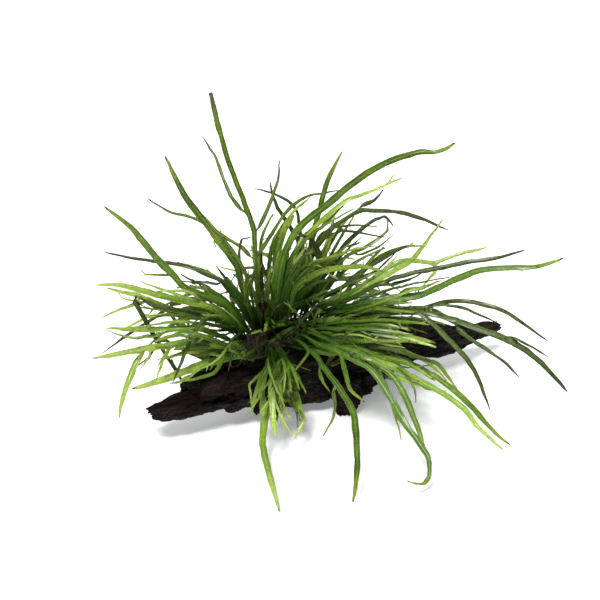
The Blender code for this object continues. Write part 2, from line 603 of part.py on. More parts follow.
    Frond("pale_blade", "pale", "right", 4.4, 8, 2,
          [(-24, 53), (-12, 54), (0, 52.4), (13, 49.6), (26, 46.4), (38, 43.8), (51, 41)],
          [Lobe(2.6, -2, [(-12, 54), (0, 48.6), (8, 43.5), (13, 36.5)]),
           Lobe(2.0, 2, [(-18, 53.6), (-9, 49), (-2, 44.6), (4.5, 39.5)])]),
    Frond("low_right_a", "green", "front", 3.4, -8, -18,
          [(-10, 43), (4, 43.4), (16, 42.6), (26, 40.4), (34, 36), (44, 31.4), (54, 28), (61, 22),
           (66.6, 13)],
          [Lobe(2.2, -2, [(2, 43.4), (13, 38.4), (23, 33.6), (33, 30)])]),
    Frond("low_right_b", "green", "front", 3.6, -28, -64,
          [(-12, 41), (4, 39.6), (18, 36.4), (30, 32), (42, 27), (54, 20), (66, 11.4), (77, 1), (87, -10.5),
           (96.8, -19.3)],
          [Lobe(2.4, -36, [(14, 37.8), (28, 36.8), (40, 33.4), (51, 27.4), (60, 19)])]),
    Frond("low_right_c", "pale", "front", 3.6, -38, -80,
          [(-15, 34.6), (0, 34.4), (14, 30.6), (28, 26), (41, 19.4), (53, 13), (64, 6.6), (74, -2),
           (81, -11.6), (93.5, -22.5)],
          [Lobe(2.6, -48, [(12, 31.8), (26, 22.6), (40, 16.4), (50, 12.6), (60, 11.4)])]),
    Frond("low_right_d", "green", "front", 3.0, -22, -34,
          [(-8, 39), (6, 35.4), (20, 31.6), (32, 26), (38, 18.6), (42, 12), (42.6, 5.4)],
          [Lobe(1.8, -20, [(4, 36), (16, 34.4), (27, 29.4), (36, 25.6), (50, 27)])]),
    Frond("curl", "green", "front", 3.6, -50, -96,
          [(-8, 36), (4, 31), (14, 25), (21, 17.4), (26.5, 8.5), (32, -1), (37.5, -10), (44, -19),
           (49, -26.6), (50.8, -34), (50, -41), (46, -44.6), (38, -42.8)],
          [Lobe(2.4, -60, [(20, 18.8), (27, 3.6), (33, -6.4), (39, -14)]),
           Lobe(2.0, -38, [(2, 32), (9, 31.8), (17, 29.6), (24, 25.6)])]),
    Frond("front_right", "green", "front", 3.8, -36, -72,
          [(-4, 38), (8, 34), (19, 28), (28, 20.6), (34, 12.5), (39, 1.4), (43, -9), (48.4, -24)],
          [Lobe(1.6, -62, [(15, 30.4), (21, 22), (25, 14.5), (33.6, -16.5)])]),
    Frond("front_left", "pale", "front", 4.2, -52, -116,
          [(-50, 31), (-51.4, 24), (-50.6, 14), (-49, 4), (-48.6, -8), (-49.4, -19), (-47.8, -30),
           (-44.4, -42), (-40, -59)],
          [Lobe(2.4, -50, [(-51, 20), (-52.6, 8), (-54.6, 2.4), (-57.5, -3)]),
           Lobe(1.3, -40, [(-51.3, 27), (-55, 18.6), (-57.2, 13.4), (-56, 3)])]),
    Frond("front_trident", "pale", "front", 4.2, -34, -52,
          [(-42.6, 33), (-44.2, 25), (-44.2, 16), (-43.8, 7), (-43.4, -3), (-42, -14.5)],
          [Lobe(2.2, -44, [(-44.2, 20), (-39, 12.6), (-38, 4.6), (-35.6, -1), (-32, -6)]),
           Lobe(2.0, -54, [(-43.9, 9), (-40, 0), (-36.4, -6.6), (-32.8, -14)]),
           Lobe(2.0, -46, [(-44.1, 13), (-47, 4.6), (-50.5, -1)]),
           Lobe(1.4, -58, [(-43.6, 1), (-40.6, -5.6), (-38, -11.5)])]),
    Frond("front_curved", "pale", "front", 2.8, -30, -48,
          [(-34, 33), (-33.6, 26), (-31, 16), (-28, 6.4), (-25.6, -2), (-25.2, -8.4), (-29.6, -16)],
          []),
    Frond("front_middle", "green", "front", 3.8, -50, -110,
          [(-19, 35), (-14.6, 28), (-8.6, 20), (-2.6, 12), (2.6, 4), (5.4, -4), (6.8, -15), (7.2, -28),
           (7, -42), (5.2, -53.8)],
          [Lobe(1.8, -26, [(-17, 32), (-15.6, 23), (-13, 17), (-9.4, 11.4)]),
           Lobe(2.2, -44, [(-12, 24.6), (-7, 12), (-6, 2), (-8, -7), (-12.4, -14.8)])]),
    Frond("front_slim", "green", "front", 2.8, -26, -38,
          [(-12, 37.5), (-4, 35), (-1, 28), (0.6, 20), (3, 13.6), (6, 9.4), (11, 5.4)],
          []),
    Frond("low_right_e", "pale", "front", 3.0, -14, -34,
          [(-14, 44.5), (0, 42), (12, 38.4), (22, 36.8), (31, 36), (38, 34), (46, 30.4), (55, 25)],
          [Lobe(2.0, -22, [(2, 41.4), (12, 41), (21, 39.8), (29, 38.6), (35, 37.6)])]),
    Frond("low_right_f", "green", "front", 2.8, -20, -44,
          [(-16, 42), (-4, 39.4), (6, 35.6), (15, 32.6), (24, 31.4), (33, 29.6), (42, 25.6), (52, 19)],
          [Lobe(1.8, -30, [(6, 35.6), (14, 29.6), (19, 24.6), (22, 20)])]),
    Frond("back_right", "green", "right", 3.6, 70, 98,
          [(-22, 66), (-12, 76), (-2, 79.5), (8, 75), (15, 64), (20, 49)],
          [Lobe(2.2, 96, [(0, 79), (12, 80), (20, 73), (25, 64)])]),
    Frond("back_left", "dark", "right", 3.4, 74, 108,
          [(-34, 66), (-40, 77), (-48, 82), (-56, 77), (-62, 63)],
          [Lobe(2.0, 112, [(-48, 82), (-57, 86), (-66, 81), (-71, 70)])]),
    Frond("back_low", "green", "right", 3.8, 92, 118,
          [(-14, 62), (-2, 69), (10, 72), (22, 70), (33, 62)],
          [Lobe(2.2, 124, [(8, 71.8), (18, 76.5), (27, 75), (36, 69)])]),
]

# Young leaves, each fused to the rhizome that it grows from.
YOUNG = [
    Frond("young_a", "green", "left", 2.0, 6, 6, [(-53.4, 60), (-54.4, 70), (-57, 79)], []),
    Frond("young_b", "pale", "left", 2.6, 2, -4, [(-47.6, 60), (-47, 72), (-45, 84)], []),
    Frond("young_d", "dark", "left", 2.2, 14, 20, [(-57, 55), (-63, 62.6), (-69, 67)], []),
    Frond("young_e", "green", "right", 2.6, 20, 14, [(-34.6, 62), (-32, 71), (-27, 79)], []),
    Frond("young_f", "pale", "right", 2.4, 24, 16, [(-25, 61), (-18, 68.6), (-10, 72)], []),
    Frond("young_g", "green", "right", 2.4, 24, 14, [(-14, 57), (-5, 60), (6, 60.6)], []),
    Frond("young_h", "dark", "right", 2.6, 30, 36, [(-41, 60), (-42.4, 70), (-40, 80)], []),
    Frond("young_i", "pale", "front", 2.2, -18, -30, [(-51, 38.6), (-55, 34.6), (-61, 32)], []),
    Frond("young_j", "green", "front", 2.8, -12, -12, [(-42, 45), (-38.4, 46.6), (-33, 48.4)], []),
    Frond("young_k", "pale", "front", 2.2, -22, -32, [(-43, 35), (-40.6, 28.6), (-34.6, 24.6)], []),
    Frond("young_l", "pale", "front", 2.0, -18, -30, [(-22, 36), (-25.6, 29), (-31, 22.4)], []),
    Frond("young_m", "dark", "front", 2.4, -12, -18, [(-25, 46), (-17, 47.6), (-8, 46)], []),
]
GROWING = FRONDS + YOUNG

# How much fronds of one tone differ, and how that changes from frond to frond.
SHADE_SPREAD = 0.15
SHADE_STEP = 3.1
# Each tone's colour and roughness.
TONES = {
    "pale": ((0.20, 0.36, 0.035), 0.42),
    "green": ((0.07, 0.20, 0.018), 0.40),
    "dark": ((0.035, 0.085, 0.018), 0.45),
}


class Strip:
    """One midrib of a frond, worked out at points a sample step apart."""

    def __init__(self, owner, parent, seen, back, half_widths):
        self.owner = owner
        self.parent = parent
        self.seen = seen
        self.back = back
        self.half_widths = half_widths
        self.clear_from = 0
        if parent is not None:
            self.leave_parent()
        self.start_back = self.back.copy()

    def leave_parent(self):
        """Lays a lobe's first stretch in the plane of its midrib's blade, until it is clear of it."""
        gaps = np.linalg.norm(self.parent.seen[None] - self.seen[:, None], axis=2)
        self.beside = gaps.argmin(axis=1)
        room = gaps.min(axis=1) - self.parent.half_widths[self.beside] - self.half_widths
        self.clear_from = int(np.argmax(room > OVERLAP_SLACK)) or len(room) - 1
        samples = np.arange(len(room))
        self.held = 1 - smooth_step(0.5 * self.clear_from, self.clear_from + 1, samples)
        self.back = self.follow(self.parent.back, self.back)

    def follow(self, of_parent, own):
        """A lobe's own values, but its midrib's where it still lies in the midrib's blade."""
        return self.held * of_parent[self.beside] + (1 - self.held) * own

    def points(self):
        return sighted(self.seen[:, 0], self.seen[:, 1], self.back)


def rounding_off(share, start, stop):
    """1 up to start, then falling along a quarter of an ellipse that would reach 0 at stop."""
    return np.sqrt(1 - (np.clip(share - start, 0, None) / (stop - start)) ** 2)


def leafiness(along):
    """0 on a frond's stalk and 1 on its blade."""
    stalk = min(STALK_LENGTH, STALK_SHARE * along[-1])
    return smooth_step(stalk * WIDENING[0], stalk * WIDENING[1], along)


def main_half_width(along, width):
    """A frond's half width: a thin stalk, then the blade, then a rounded tip."""
    blade = PETIOLE_HALF_WIDTH + (width / 2 - PETIOLE_HALF_WIDTH) * leafiness(along)
    return np.maximum(blade * rounding_off(along / along[-1], *FROND_ROUNDING), TIP_HALF_WIDTH)


def lobe_half_width(along, width):
    return np.maximum(width / 2 * rounding_off(along / along[-1], *LOBE_ROUNDING), TIP_HALF_WIDTH)


def seen_line(route, step):
    """A smooth line through (across, up) places."""
    flat = smooth_line([(a, u, 0.0) for a, u in route], step)
    return flat[:, :2]


def seen_from_front(point):
    """The (across, up) place where a point is seen, and how far back it is."""
    seen = EYE + (point - EYE) * SIGHT_RANGE / (SIGHT_RANGE - point @ TOWARD)
    return seen[0], seen @ UPWARD, point[1]


def clear_of_crown(frond, pivot):
    """The places of a frond's route that are clear of the crown, or else its last one."""
    return [place for place in frond.route if math.dist(place, pivot) > CROWN_RADIUS] or [frond.route[-1]]


def fan_turn(frond, pivot):
    """The way that a frond sets off, as an angle from a pivot near its rhizome."""
    across, up = clear_of_crown(frond, pivot)[0]
    turn = math.degrees(math.atan2(up - pivot[1], across - pivot[0]))
    return (turn - FAN_BREAK[frond.rhizome]) % 360


def leave_rhizomes(routes):
    """Each frond's base and the end of its straight first stretch: in two rows, fanned out in order."""
    starts = {}
    for rhizome, route in routes.items():
        along = length_along(route)
        across, up, _ = seen_from_front(point_at(route, along, along[-1] / 2))
        pivot = (across, up + PIVOT_DROP[rhizome])
        grown = [f for f in GROWING if f.rhizome == rhizome]
        grown.sort(key=lambda f: fan_turn(f, pivot), reverse=rhizome != "front")
        spots = np.linspace(BASE_MARGIN, along[-1] - BASE_MARGIN, len(grown))
        depths = [f.middle for f in grown]
        for number, (frond, spot) in enumerate(zip(grown, spots)):
            middle = point_at(route, along, spot)
            aim = sighted(*clear_of_crown(frond, pivot)[0], (middle[1] + frond.middle) / 2)
            ahead = point_at(route, along, spot + 1) - point_at(route, along, spot - 1)
            ahead /= np.linalg.norm(ahead)
            out = aim - middle
            out -= ahead * (out @ ahead)
            out /= np.linalg.norm(out)
            beside = depths[max(number - 1, 0) : number + 2]
            row = ROW_SPREAD if frond.middle > sum(beside) / len(beside) else -ROW_SPREAD
            sideways = np.cross(ahead, out)
            out += row * sideways * np.sign(sideways[1])
            out /= np.linalg.norm(out)
            clear = YOUNG_ROOT * RHIZOME_RADIUS
            if frond not in YOUNG:
                clear = RHIZOME_RADIUS * (1 + KNOB_HEIGHT) + JOINT_GAP
            leaning = out + ahead * LEAN * (aim - middle) @ ahead / np.linalg.norm(aim - middle)
            starts[frond.name] = middle + out * clear, middle + out * clear + leaning * FIRST_STRETCH
    return starts


def lay_out(routes):
    """The strips of all fronds, before they are eased apart."""
    strips = []
    starts = leave_rhizomes(routes)
    for frond in GROWING:
        base, rise = (seen_from_front(place) for place in starts[frond.name])
        seen = seen_line([base[:2], rise[:2]] + clear_of_crown(frond, base[:2]), SAMPLE_STEP)
        along = SAMPLE_STEP * np.arange(len(seen))
        risen = FIRST_STRETCH / along[-1]
        depth = np.interp(along / along[-1], [0, risen, 0.5, 1], [base[2], rise[2], frond.middle, frond.tip])
        for _ in range(DEPTH_ROUNDS):
            depth[1:-1] = 0.5 * depth[1:-1] + 0.25 * (depth[:-2] + depth[2:])
        main = Strip(frond, None, seen, depth, main_half_width(along, frond.width))
        strips.append(main)
        for lobe in frond.lobes:
            gap = np.linalg.norm(seen - np.array(lobe.route[0]), axis=1)
            fork = int(np.argmin(gap))
            path = seen_line([tuple(seen[fork])] + list(lobe.route[1:]), SAMPLE_STEP)
            along = SAMPLE_STEP * np.arange(len(path))
            depth = main.back[fork] + (lobe.tip - main.back[fork]) * along / along[-1]
            strips.append(Strip(frond, main, path, depth, lobe_half_width(along, lobe.width)))
    return strips


def lay_over(strips):
    """Pairs of sample points that lie over each other as seen from the front, and which is behind.

    Each row holds the two sample numbers, +1 where the second is the one behind and -1 where it is
    the first, and the two fronds' numbers. Where two fronds cross, one of them is behind throughout.
    """
    seen = np.vstack([s.seen for s in strips])
    back = np.concatenate([s.back for s in strips])
    half = np.concatenate([s.half_widths for s in strips])
    lengths = [len(s.seen) for s in strips]
    strip_of = np.repeat(np.arange(len(strips)), lengths)
    order = np.concatenate([np.arange(n) for n in lengths])
    crossing = {}
    for i in range(len(seen) - 1):
        gap = np.hypot(*(seen[i + 1 :] - seen[i]).T)
        for j in np.nonzero(gap < half[i + 1 :] + half[i] + OVERLAP_SLACK)[0] + i + 1:
            a, b = strips[strip_of[i]], strips[strip_of[j]]
            if a.owner is b.owner and (order[i] < a.clear_from or order[j] < b.clear_from):
                continue
            if a is b and order[j] - order[i] < SAME_STRETCH:
                continue
            key = GROWING.index(a.owner), GROWING.index(b.owner)
            crossing.setdefault(key, []).append((i, j))
    found = []
    for fronds, members in crossing.items():
        left = list(members)
        while left:
            place = [left.pop()]
            for i, j in place:
                near = [m for m in left if np.hypot(*(seen[m[0]] - seen[i])) < SAME_CROSSING]
                place += near
                left = [m for m in left if m not in near]
            behind = 1 if sum(back[j] - back[i] for i, j in place) >= 0 else -1
            found += [(i, j, behind, *fronds) for i, j in place]
    return np.array(found)


def ease_apart(strips, pairs, barriers, extra):
    """Moves the strips along the line of sight until each clears the others, the wood and the ground."""
    ends = np.cumsum([0] + [len(s.seen) for s in strips])
    spans = [slice(a, b) for a, b in zip(ends[:-1], ends[1:])]
    span_of = {id(s): span for s, span in zip(strips, spans)}
    seen = np.vstack([s.seen for s in strips])
    start = np.concatenate([s.start_back for s in strips])
    back = np.concatenate([s.back for s in strips])
    half = np.concatenate([s.half_widths for s in strips])
    frond_of = np.repeat([GROWING.index(s.owner) for s in strips], [len(s.seen) for s in strips])
    free = np.ones(len(back))
    for strip, span in zip(strips, spans):
        if strip.parent is None:
            free[span] = smooth_step(0, FIRST_FREE, np.arange(len(strip.seen)))
    first, second, behind = pairs[:, 0], pairs[:, 1], pairs[:, 2]
    wanted = PASSING_GAP + TILT_SHARE * (half[first] + half[second])
    wanted += np.array([extra.get((min(a, b), max(a, b)), 0.0) for a, b in pairs[:, 3:]])
    clear = BARRIER_GAP + TILT_SHARE * half + np.array([min(extra.get(f, 0.0), MOST_EXTRA) for f in frond_of])
    for turn in range(EASE_ROUNDS):
        short = wanted - behind * (back[second] - back[first])
        push = np.where(short > 0, 0.5 * short, 0.0)
        nearer, further = np.zeros(len(back)), np.zeros(len(back))
        for moved, way in ((first, -behind), (second, behind)):
            np.maximum.at(further, moved, np.where(way > 0, push, 0.0))
            np.maximum.at(nearer, moved, np.where(way < 0, push, 0.0))
        back += (further - nearer) * free
        points = sighted(seen[:, 0], seen[:, 1], back)
        back -= np.clip(GROUND_CLEARANCE + 0.5 * half - points[:, 2], 0, None) / math.tan(SIGHT_TILT)
        if turn % 2 == 0:
            back += free * clear_of(barriers, points, clear)
        moved = np.clip(back - start, -MOST_MOVED, MOST_MOVED)
        for strip, span in zip(strips, spans):
            part = moved[span]
            if strip.parent is not None:
                part[:] = strip.follow(moved[span_of[id(strip.parent)]], part)
            part[1:-1] = (1 - SMOOTHING) * part[1:-1] + 0.5 * SMOOTHING * (part[:-2] + part[2:])
            part[-1] = 0.5 * (part[-1] + part[-2])
        back = start + moved
    for strip, span in zip(strips, spans):
        strip.back = back[span].copy()


def clear_of(barriers, points, clear):
    """How far back each point has to move to be clear of the barriers, or toward the front if negative."""
    moves = np.zeros(len(points))
    for i, point in enumerate(points):
        for barrier in barriers:
            hit, normal, _, distance = barrier.find_nearest(Vector(point), clear[i] + DEEPEST)
            if hit is None:
                continue
            outside = distance if (Vector(point) - hit).dot(normal) > 0 else -distance
            if outside >= clear[i]:
                continue
            lean = float(np.array(normal) @ TOWARD)
            step = (clear[i] - outside) / max(abs(lean), LEAST_LEAN) * math.cos(SIGHT_TILT)
            moves[i] = step if lean < -FACING_AWAY else -step
    return moves


def blade_frames(points, start, normal):
    """Tangents, and normals carried along the line with as little turning as it allows."""
    tangents = np.gradient(points, axis=0)
    tangents /= np.linalg.norm(tangents, axis=1)[:, None]
    normals = np.zeros_like(points)
    for way in (1, -1):
        last = normal
        for i in range(start, len(points) if way > 0 else -1, way):
            last = last + FACING_PULL * FACING
            last = last - (last @ tangents[i]) * tangents[i]
            last = last / np.linalg.norm(last)
            normals[i] = last
    return tangents, normals


class Blade:
    """A strip with its frames and section sizes, read at any place along it."""

    def __init__(self, strip, number, parent=None):
        self.strip = strip
        self.points = strip.points()
        self.along = length_along(self.points)
        share = self.along / self.along[-1]
        if parent is None:
            middle = len(self.points) // 2
            self.tangents, flat = blade_frames(self.points, middle, FACING)
            roll = math.radians(MOST_ROLL) * math.sin(ROLL_STEP * number)
            roll = roll + math.radians(MOST_TWIST) * math.sin(TWIST_STEP * number + 1) * (share - 0.5)
            rolled = np.cross(self.tangents, flat) * np.sin(roll)[:, None]
            self.normals = flat * np.cos(roll)[:, None] + rolled
            leafy = leafiness(self.along)
        else:
            self.tangents, self.normals = blade_frames(self.points, 0, parent.normals[strip.beside[0]])
            leafy = np.ones(len(share))
        self.rights = np.cross(self.tangents, self.normals)
        slim = np.clip(strip.half_widths / FULL_THICKNESS_FROM, LEAST_THICKNESS, 1.0)
        self.crest = (PETIOLE_DEPTH * (1 - leafy) + BLADE_CREST * leafy) * slim
        self.keel = (PETIOLE_DEPTH * (1 - leafy) + BLADE_KEEL * leafy) * slim

    def section(self, where, grow):
        """The middle, the tangent, and the left, crest, right and keel points at a place along the blade."""
        middle, tangent, normal, right = (
            point_at(values, self.along, where)
            for values in (self.points, self.tangents, self.normals, self.rights)
        )
        half, crest, keel = (
            np.interp(where, self.along, values) + grow
            for values in (self.strip.half_widths, self.crest, self.keel)
        )
        return middle, tangent, [
            middle - right * half, middle + normal * crest, middle + right * half, middle - normal * keel
        ]

    def stations(self, fixed, spacing):
        """Places along the blade for sections: closer together where it turns, and at the fixed ones."""
        turning = np.arccos(np.clip((self.tangents[1:] * self.tangents[:-1]).sum(axis=1), -1, 1))
        effort = np.diff(self.along) / spacing + turning / math.radians(TURN_PER_STATION)
        effort = np.concatenate([[0], np.cumsum(effort)])
        count = max(3, math.ceil(effort[-1]) + 1)
        regular = np.interp(np.linspace(0, effort[-1], count), effort, self.along)
        kept = [s for s in regular[1:-1] if all(abs(s - f) > CLOSEST_STATION for f in fixed)]
        return sorted([0.0, self.along[-1]] + kept + list(fixed))


class Fork:
    """Where a lobe joins the edge of its midrib's blade: the side, the middle and the half length.

    The lobe's first section is where it is clear of the blade, and the joint ends just behind that.
    """

    def __init__(self, main, blade):
        self.blade = blade
        half = blade.strip.half_widths
        for self.ring, point in enumerate(blade.points):
            where, distance = nearest_along(main.points, main.along, point)
            edge = np.interp(where, main.along, main.strip.half_widths)
            if distance > edge + half[self.ring] + LOBE_CLEARANCE:
                break
            if blade.along[self.ring] > LATEST_RING * blade.along[-1]:
                break
        middle, tangent, _ = main.section(where, 0.0)
        self.side = 1 if (point - middle) @ point_at(main.rights, main.along, where) > 0 else -1
        cosine = abs(tangent @ blade.tangents[self.ring])
        sine = math.sqrt(1 - min(cosine, 1.0) ** 2)
        self.reach = float(np.clip(half[self.ring] / max(sine, FLATTEST_FORK), LEAST_REACH, MOST_REACH))
        ahead = where + half[self.ring] * sine - CROTCH_ROOM * cosine
        last = main.along[-1] - END_ROOM - self.reach
        self.middle = float(np.clip(ahead - self.reach, END_ROOM + self.reach, last))

    def places(self):
        return [self.middle - self.reach, self.middle, self.middle + self.reach]


def nearest_along(points, along, place):
    """How far along a line its nearest point to a place is, and the distance."""
    runs = np.diff(points, axis=0)
    share = ((place - points[:-1]) * runs).sum(axis=1) / (runs * runs).sum(axis=1)
    share = np.clip(share, 0, 1)
    gaps = np.linalg.norm(points[:-1] + runs * share[:, None] - place, axis=1)
    nearest = int(np.argmin(gaps))
    where = along[nearest] + share[nearest] * (along[nearest + 1] - along[nearest])
    return where, gaps[nearest]


def spread_forks(forks):
    """Keeps the lobes' joints apart on each side, and puts opposite ones level where they nearly are."""
    forks.sort(key=lambda fork: fork.middle)
    for earlier, later in zip(forks, forks[1:]):
        if later.middle - earlier.middle > earlier.reach + later.reach + FORK_ROOM:
            continue
        if earlier.side != later.side:
            later.middle, later.reach = earlier.middle, earlier.reach
        else:
            later.middle = earlier.middle + earlier.reach + later.reach + FORK_ROOM
    for a, b, c in zip(forks, forks[1:], forks[2:]):
        if a.side == c.side and c.middle - a.middle < a.reach + c.reach + FORK_ROOM:
            c.middle = a.middle + a.reach + c.reach + FORK_ROOM


def frond_solid(strips, number, grow=0.0):
    """A frond's closed solid: a flat four-sided strip, with each lobe grown out of an edge of it."""
    main = Blade(strips[0], number)
    forks = [Fork(main, Blade(lobe, number, main)) for lobe in strips[1:]]
    spread_forks(forks)
    fixed = sorted({FIRST_STATION, *(place for fork in forks for place in fork.places())})
    stations = main.stations(fixed, MAIN_STATION)
    opened = {(fork.middle, fork.side) for fork in forks}
    vertices, faces, rings = [], [], []
    for where in stations:
        _, _, (left, crest, right, keel) = main.section(where, grow)
        normal = point_at(main.normals, main.along, where)
        ring = {"crest": len(vertices), "keel": len(vertices) + 1}
        vertices += [crest, keel]
        for side, edge in ((-1, left), (1, right)):
            split = BLADE_CREST if (where, side) in opened else 0.0
            ring[side, "over"] = ring[side, "under"] = len(vertices)
            vertices.append(edge + normal * split)
            if split:
                ring[side, "under"] = len(vertices)
                vertices.append(edge - normal * split)
        rings.append(ring)
    for a, b in zip(rings, rings[1:]):
        for side in (-1, 1):
            faces.append((a["crest"], b["crest"], b[side, "over"], a[side, "over"]))
            faces.append((a["keel"], a[side, "under"], b[side, "under"], b["keel"]))
    faces.append(tuple(rings[0][key] for key in ("crest", (-1, "over"), "keel", (1, "over"))))
    close_tip(vertices, faces, main, [rings[-1][key] for key in ((-1, "over"), "crest", (1, "over"), "keel")])
    for fork in forks:
        behind, level, ahead = (stations.index(place) for place in fork.places())
        joints = [rings[behind][fork.side, "over"], rings[level][fork.side, "over"],
                  rings[ahead][fork.side, "over"], rings[level][fork.side, "under"]]
        last = joints if fork.side < 0 else [joints[2], joints[1], joints[0], joints[3]]
        blade = fork.blade
        begin = blade.along[fork.ring]
        for where in [s for s in blade.stations([begin], LOBE_STATION) if s >= begin]:
            ring = list(range(len(vertices), len(vertices) + 4))
            vertices += blade.section(where, grow)[2]
            for k in range(4):
                faces.append((last[k], ring[k], ring[(k + 1) % 4], last[(k + 1) % 4]))
            last = ring
        close_tip(vertices, faces, blade, last)
    return vertices, faces


def close_tip(vertices, faces, blade, ring):
    tip = len(vertices)
    vertices.append(blade.points[-1] + blade.tangents[-1] * TIP_LENGTH)
    for k in range(4):
        faces.append((ring[k], tip, ring[(k + 1) % 4]))


def settle(strips, barriers):
    """Eases the fronds apart until no two of their solids meet, and returns the solids."""
    grouped = [[s for s in strips if s.owner is frond] for frond in GROWING]
    pairs = lay_over(strips)
    extra = {}
    for _ in range(SETTLE_ROUNDS):
        ease_apart(strips, pairs, barriers, extra)
        grown = [surface_of(*frond_solid(group, n, 0.5 * JOINT_GAP)) for n, group in enumerate(grouped)]
        meeting = [
            (a, b) for a in range(len(grown)) for b in range(a + 1, len(grown)) if grown[a].overlap(grown[b])
        ]
        touching = [n for n in range(len(FRONDS)) if any(grown[n].overlap(barrier) for barrier in barriers)]
        if not meeting and not touching:
            break
        for key in meeting + touching:
            extra[key] = extra.get(key, 0.0) + EXTRA_STEP
    return [frond_solid(group, n) for n, group in enumerate(grouped)]


def main():
    for old in list(bpy.data.objects):
        bpy.data.objects.remove(old)
    wood = make_driftwood(material("driftwood", WOOD_COLOUR, 0.55))
    routes = {name: rhizome_route(name, wood) for name in RHIZOMES}
    barriers = [wood]
    for name, route in routes.items():
        barriers.append(make_rhizome(name, route, material("rhizome_" + name, RHIZOME_COLOUR, 0.6)))
    solids = settle(lay_out(routes), barriers)
    young = {name: [] for name in RHIZOMES}
    for number, (frond, (vertices, faces)) in enumerate(zip(GROWING, solids)):
        if frond in YOUNG:
            made = add_solid(frond.name, vertices, faces, bpy.data.materials["rhizome_" + frond.rhizome])
            young[frond.rhizome].append(made)
        else:
            colour, roughness = TONES[frond.tone]
            shade = 1 + SHADE_SPREAD * math.sin(SHADE_STEP * number)
            finish = material("frond_" + frond.name, [channel * shade for channel in colour], roughness)
            made = add_solid("frond_" + frond.name, vertices, faces, finish)
        facing_out(made)
    for name, leaves in young.items():
        join(bpy.data.objects["rhizome_" + name], leaves)
    for made in bpy.data.objects:
        made.data.shade_smooth()
        made.data.set_sharp_from_angle(angle=SHARP_FROM)


main()
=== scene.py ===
# %% [markdown]
# # Java fern on driftwood: the looks
# The part file gives every frond, rhizome and the driftwood as a plain closed solid. This lesson
# dresses those solids: each leaf gets a raised midrib and wavy edges, the wood its fibres, and the
# small things that are too fine for a solid, such as hair roots, are made here as meshes.

import heapq
import math
import random

import bmesh
import bpy
import numpy as np
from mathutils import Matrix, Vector, noise
from mathutils.bvhtree import BVHTree


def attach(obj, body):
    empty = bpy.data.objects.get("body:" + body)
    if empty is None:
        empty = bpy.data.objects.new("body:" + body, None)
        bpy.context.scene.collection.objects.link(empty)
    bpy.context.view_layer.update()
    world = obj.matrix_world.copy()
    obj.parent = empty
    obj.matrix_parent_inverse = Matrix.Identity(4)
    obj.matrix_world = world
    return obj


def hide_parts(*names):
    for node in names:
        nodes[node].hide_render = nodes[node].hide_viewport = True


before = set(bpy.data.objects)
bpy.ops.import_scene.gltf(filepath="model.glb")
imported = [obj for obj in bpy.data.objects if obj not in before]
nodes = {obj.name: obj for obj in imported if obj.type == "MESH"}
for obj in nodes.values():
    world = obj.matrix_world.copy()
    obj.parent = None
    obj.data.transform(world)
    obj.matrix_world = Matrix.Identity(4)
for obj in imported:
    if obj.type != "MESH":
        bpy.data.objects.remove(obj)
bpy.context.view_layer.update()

# %% [markdown]
# ## Where things are
# The plant was laid out as it is seen from the front: so far across, so far up, and so far back,
# all in millimetres. The same rule is needed here for the small things, because a root that is
# seen beside a stalk has to stand there. The camera is where that sight starts.

# %% Places as they are seen
MM = 0.001
SIGHT_TILT = math.radians(27.0)
SIGHT_RANGE = 1000.0
SIGHT_AIM = (-27.0, 66.0)
toward = np.array([0.0, -math.cos(SIGHT_TILT), math.sin(SIGHT_TILT)])
upward = np.array([0.0, math.sin(SIGHT_TILT), math.cos(SIGHT_TILT)])
eye = np.array([SIGHT_AIM[0], 0.0, 0.0]) + SIGHT_AIM[1] * upward + SIGHT_RANGE * toward


def sighted(across, up, back):
    """The point, in millimetres, that is seen at (across, up) and lies back behind the origin."""
    seen = np.array([across, up * upward[1], up * upward[2]])
    reach = (back - eye[1]) / (seen[1] - eye[1])
    return eye + reach * (seen - eye)


print("eye:", np.round(eye, 1), "a place at the crown:", np.round(sighted(-50, 45, 8), 1))

# %% [markdown]
# ## Camera, light and floor
# The plant stands on white paper under a large soft light, a little from above and in front. A
# sun lamp with a wide disc gives that even light: it reaches every leaf alike and its shadow has
# a soft edge. The white surround fills the shadows, and the paper stays plain. The surround shows
# only faintly in the sheen of leaves and wood, as in a studio with dark walls: else it would lie
# over the dark wood as a grey film.

# %% Camera
camera_data = bpy.data.cameras.new("camera")
camera_data.lens = 100
camera_data.sensor_width = 36
camera = bpy.data.objects.new("camera", camera_data)
camera.location = Vector(eye) * MM
camera.rotation_euler = Vector(-toward).to_track_quat("-Z", "Y").to_euler()
bpy.context.scene.collection.objects.link(camera)
bpy.context.scene.camera = camera
bpy.context.scene.view_settings.view_transform = "Standard"
print("camera at", [round(v, 3) for v in camera.location])

# %% Light and surround
SURROUND_LIGHT = 0.41
SURROUND_SHEEN = 0.12
KEY_LIGHT = 4.2
KEY_DISC = 18.0
KEY_TURN = (24, -12, 0)
RIM_LIGHT = 1.1
RIM_DISC = 50.0
RIM_TURN = (-48, 20, 0)


def sun(name, strength, disc, turn):
    """A wide, soft sun lamp that shines along its own turned axis. The angles are in degrees."""
    data = bpy.data.lights.new(name, "SUN")
    data.energy = strength
    data.angle = math.radians(disc)
    lamp = bpy.data.objects.new(name, data)
    lamp.rotation_euler = [math.radians(a) for a in turn]
    bpy.context.scene.collection.objects.link(lamp)
    return lamp


key = sun("key_light", KEY_LIGHT, KEY_DISC, KEY_TURN)
rim = sun("back_light", RIM_LIGHT, RIM_DISC, RIM_TURN)

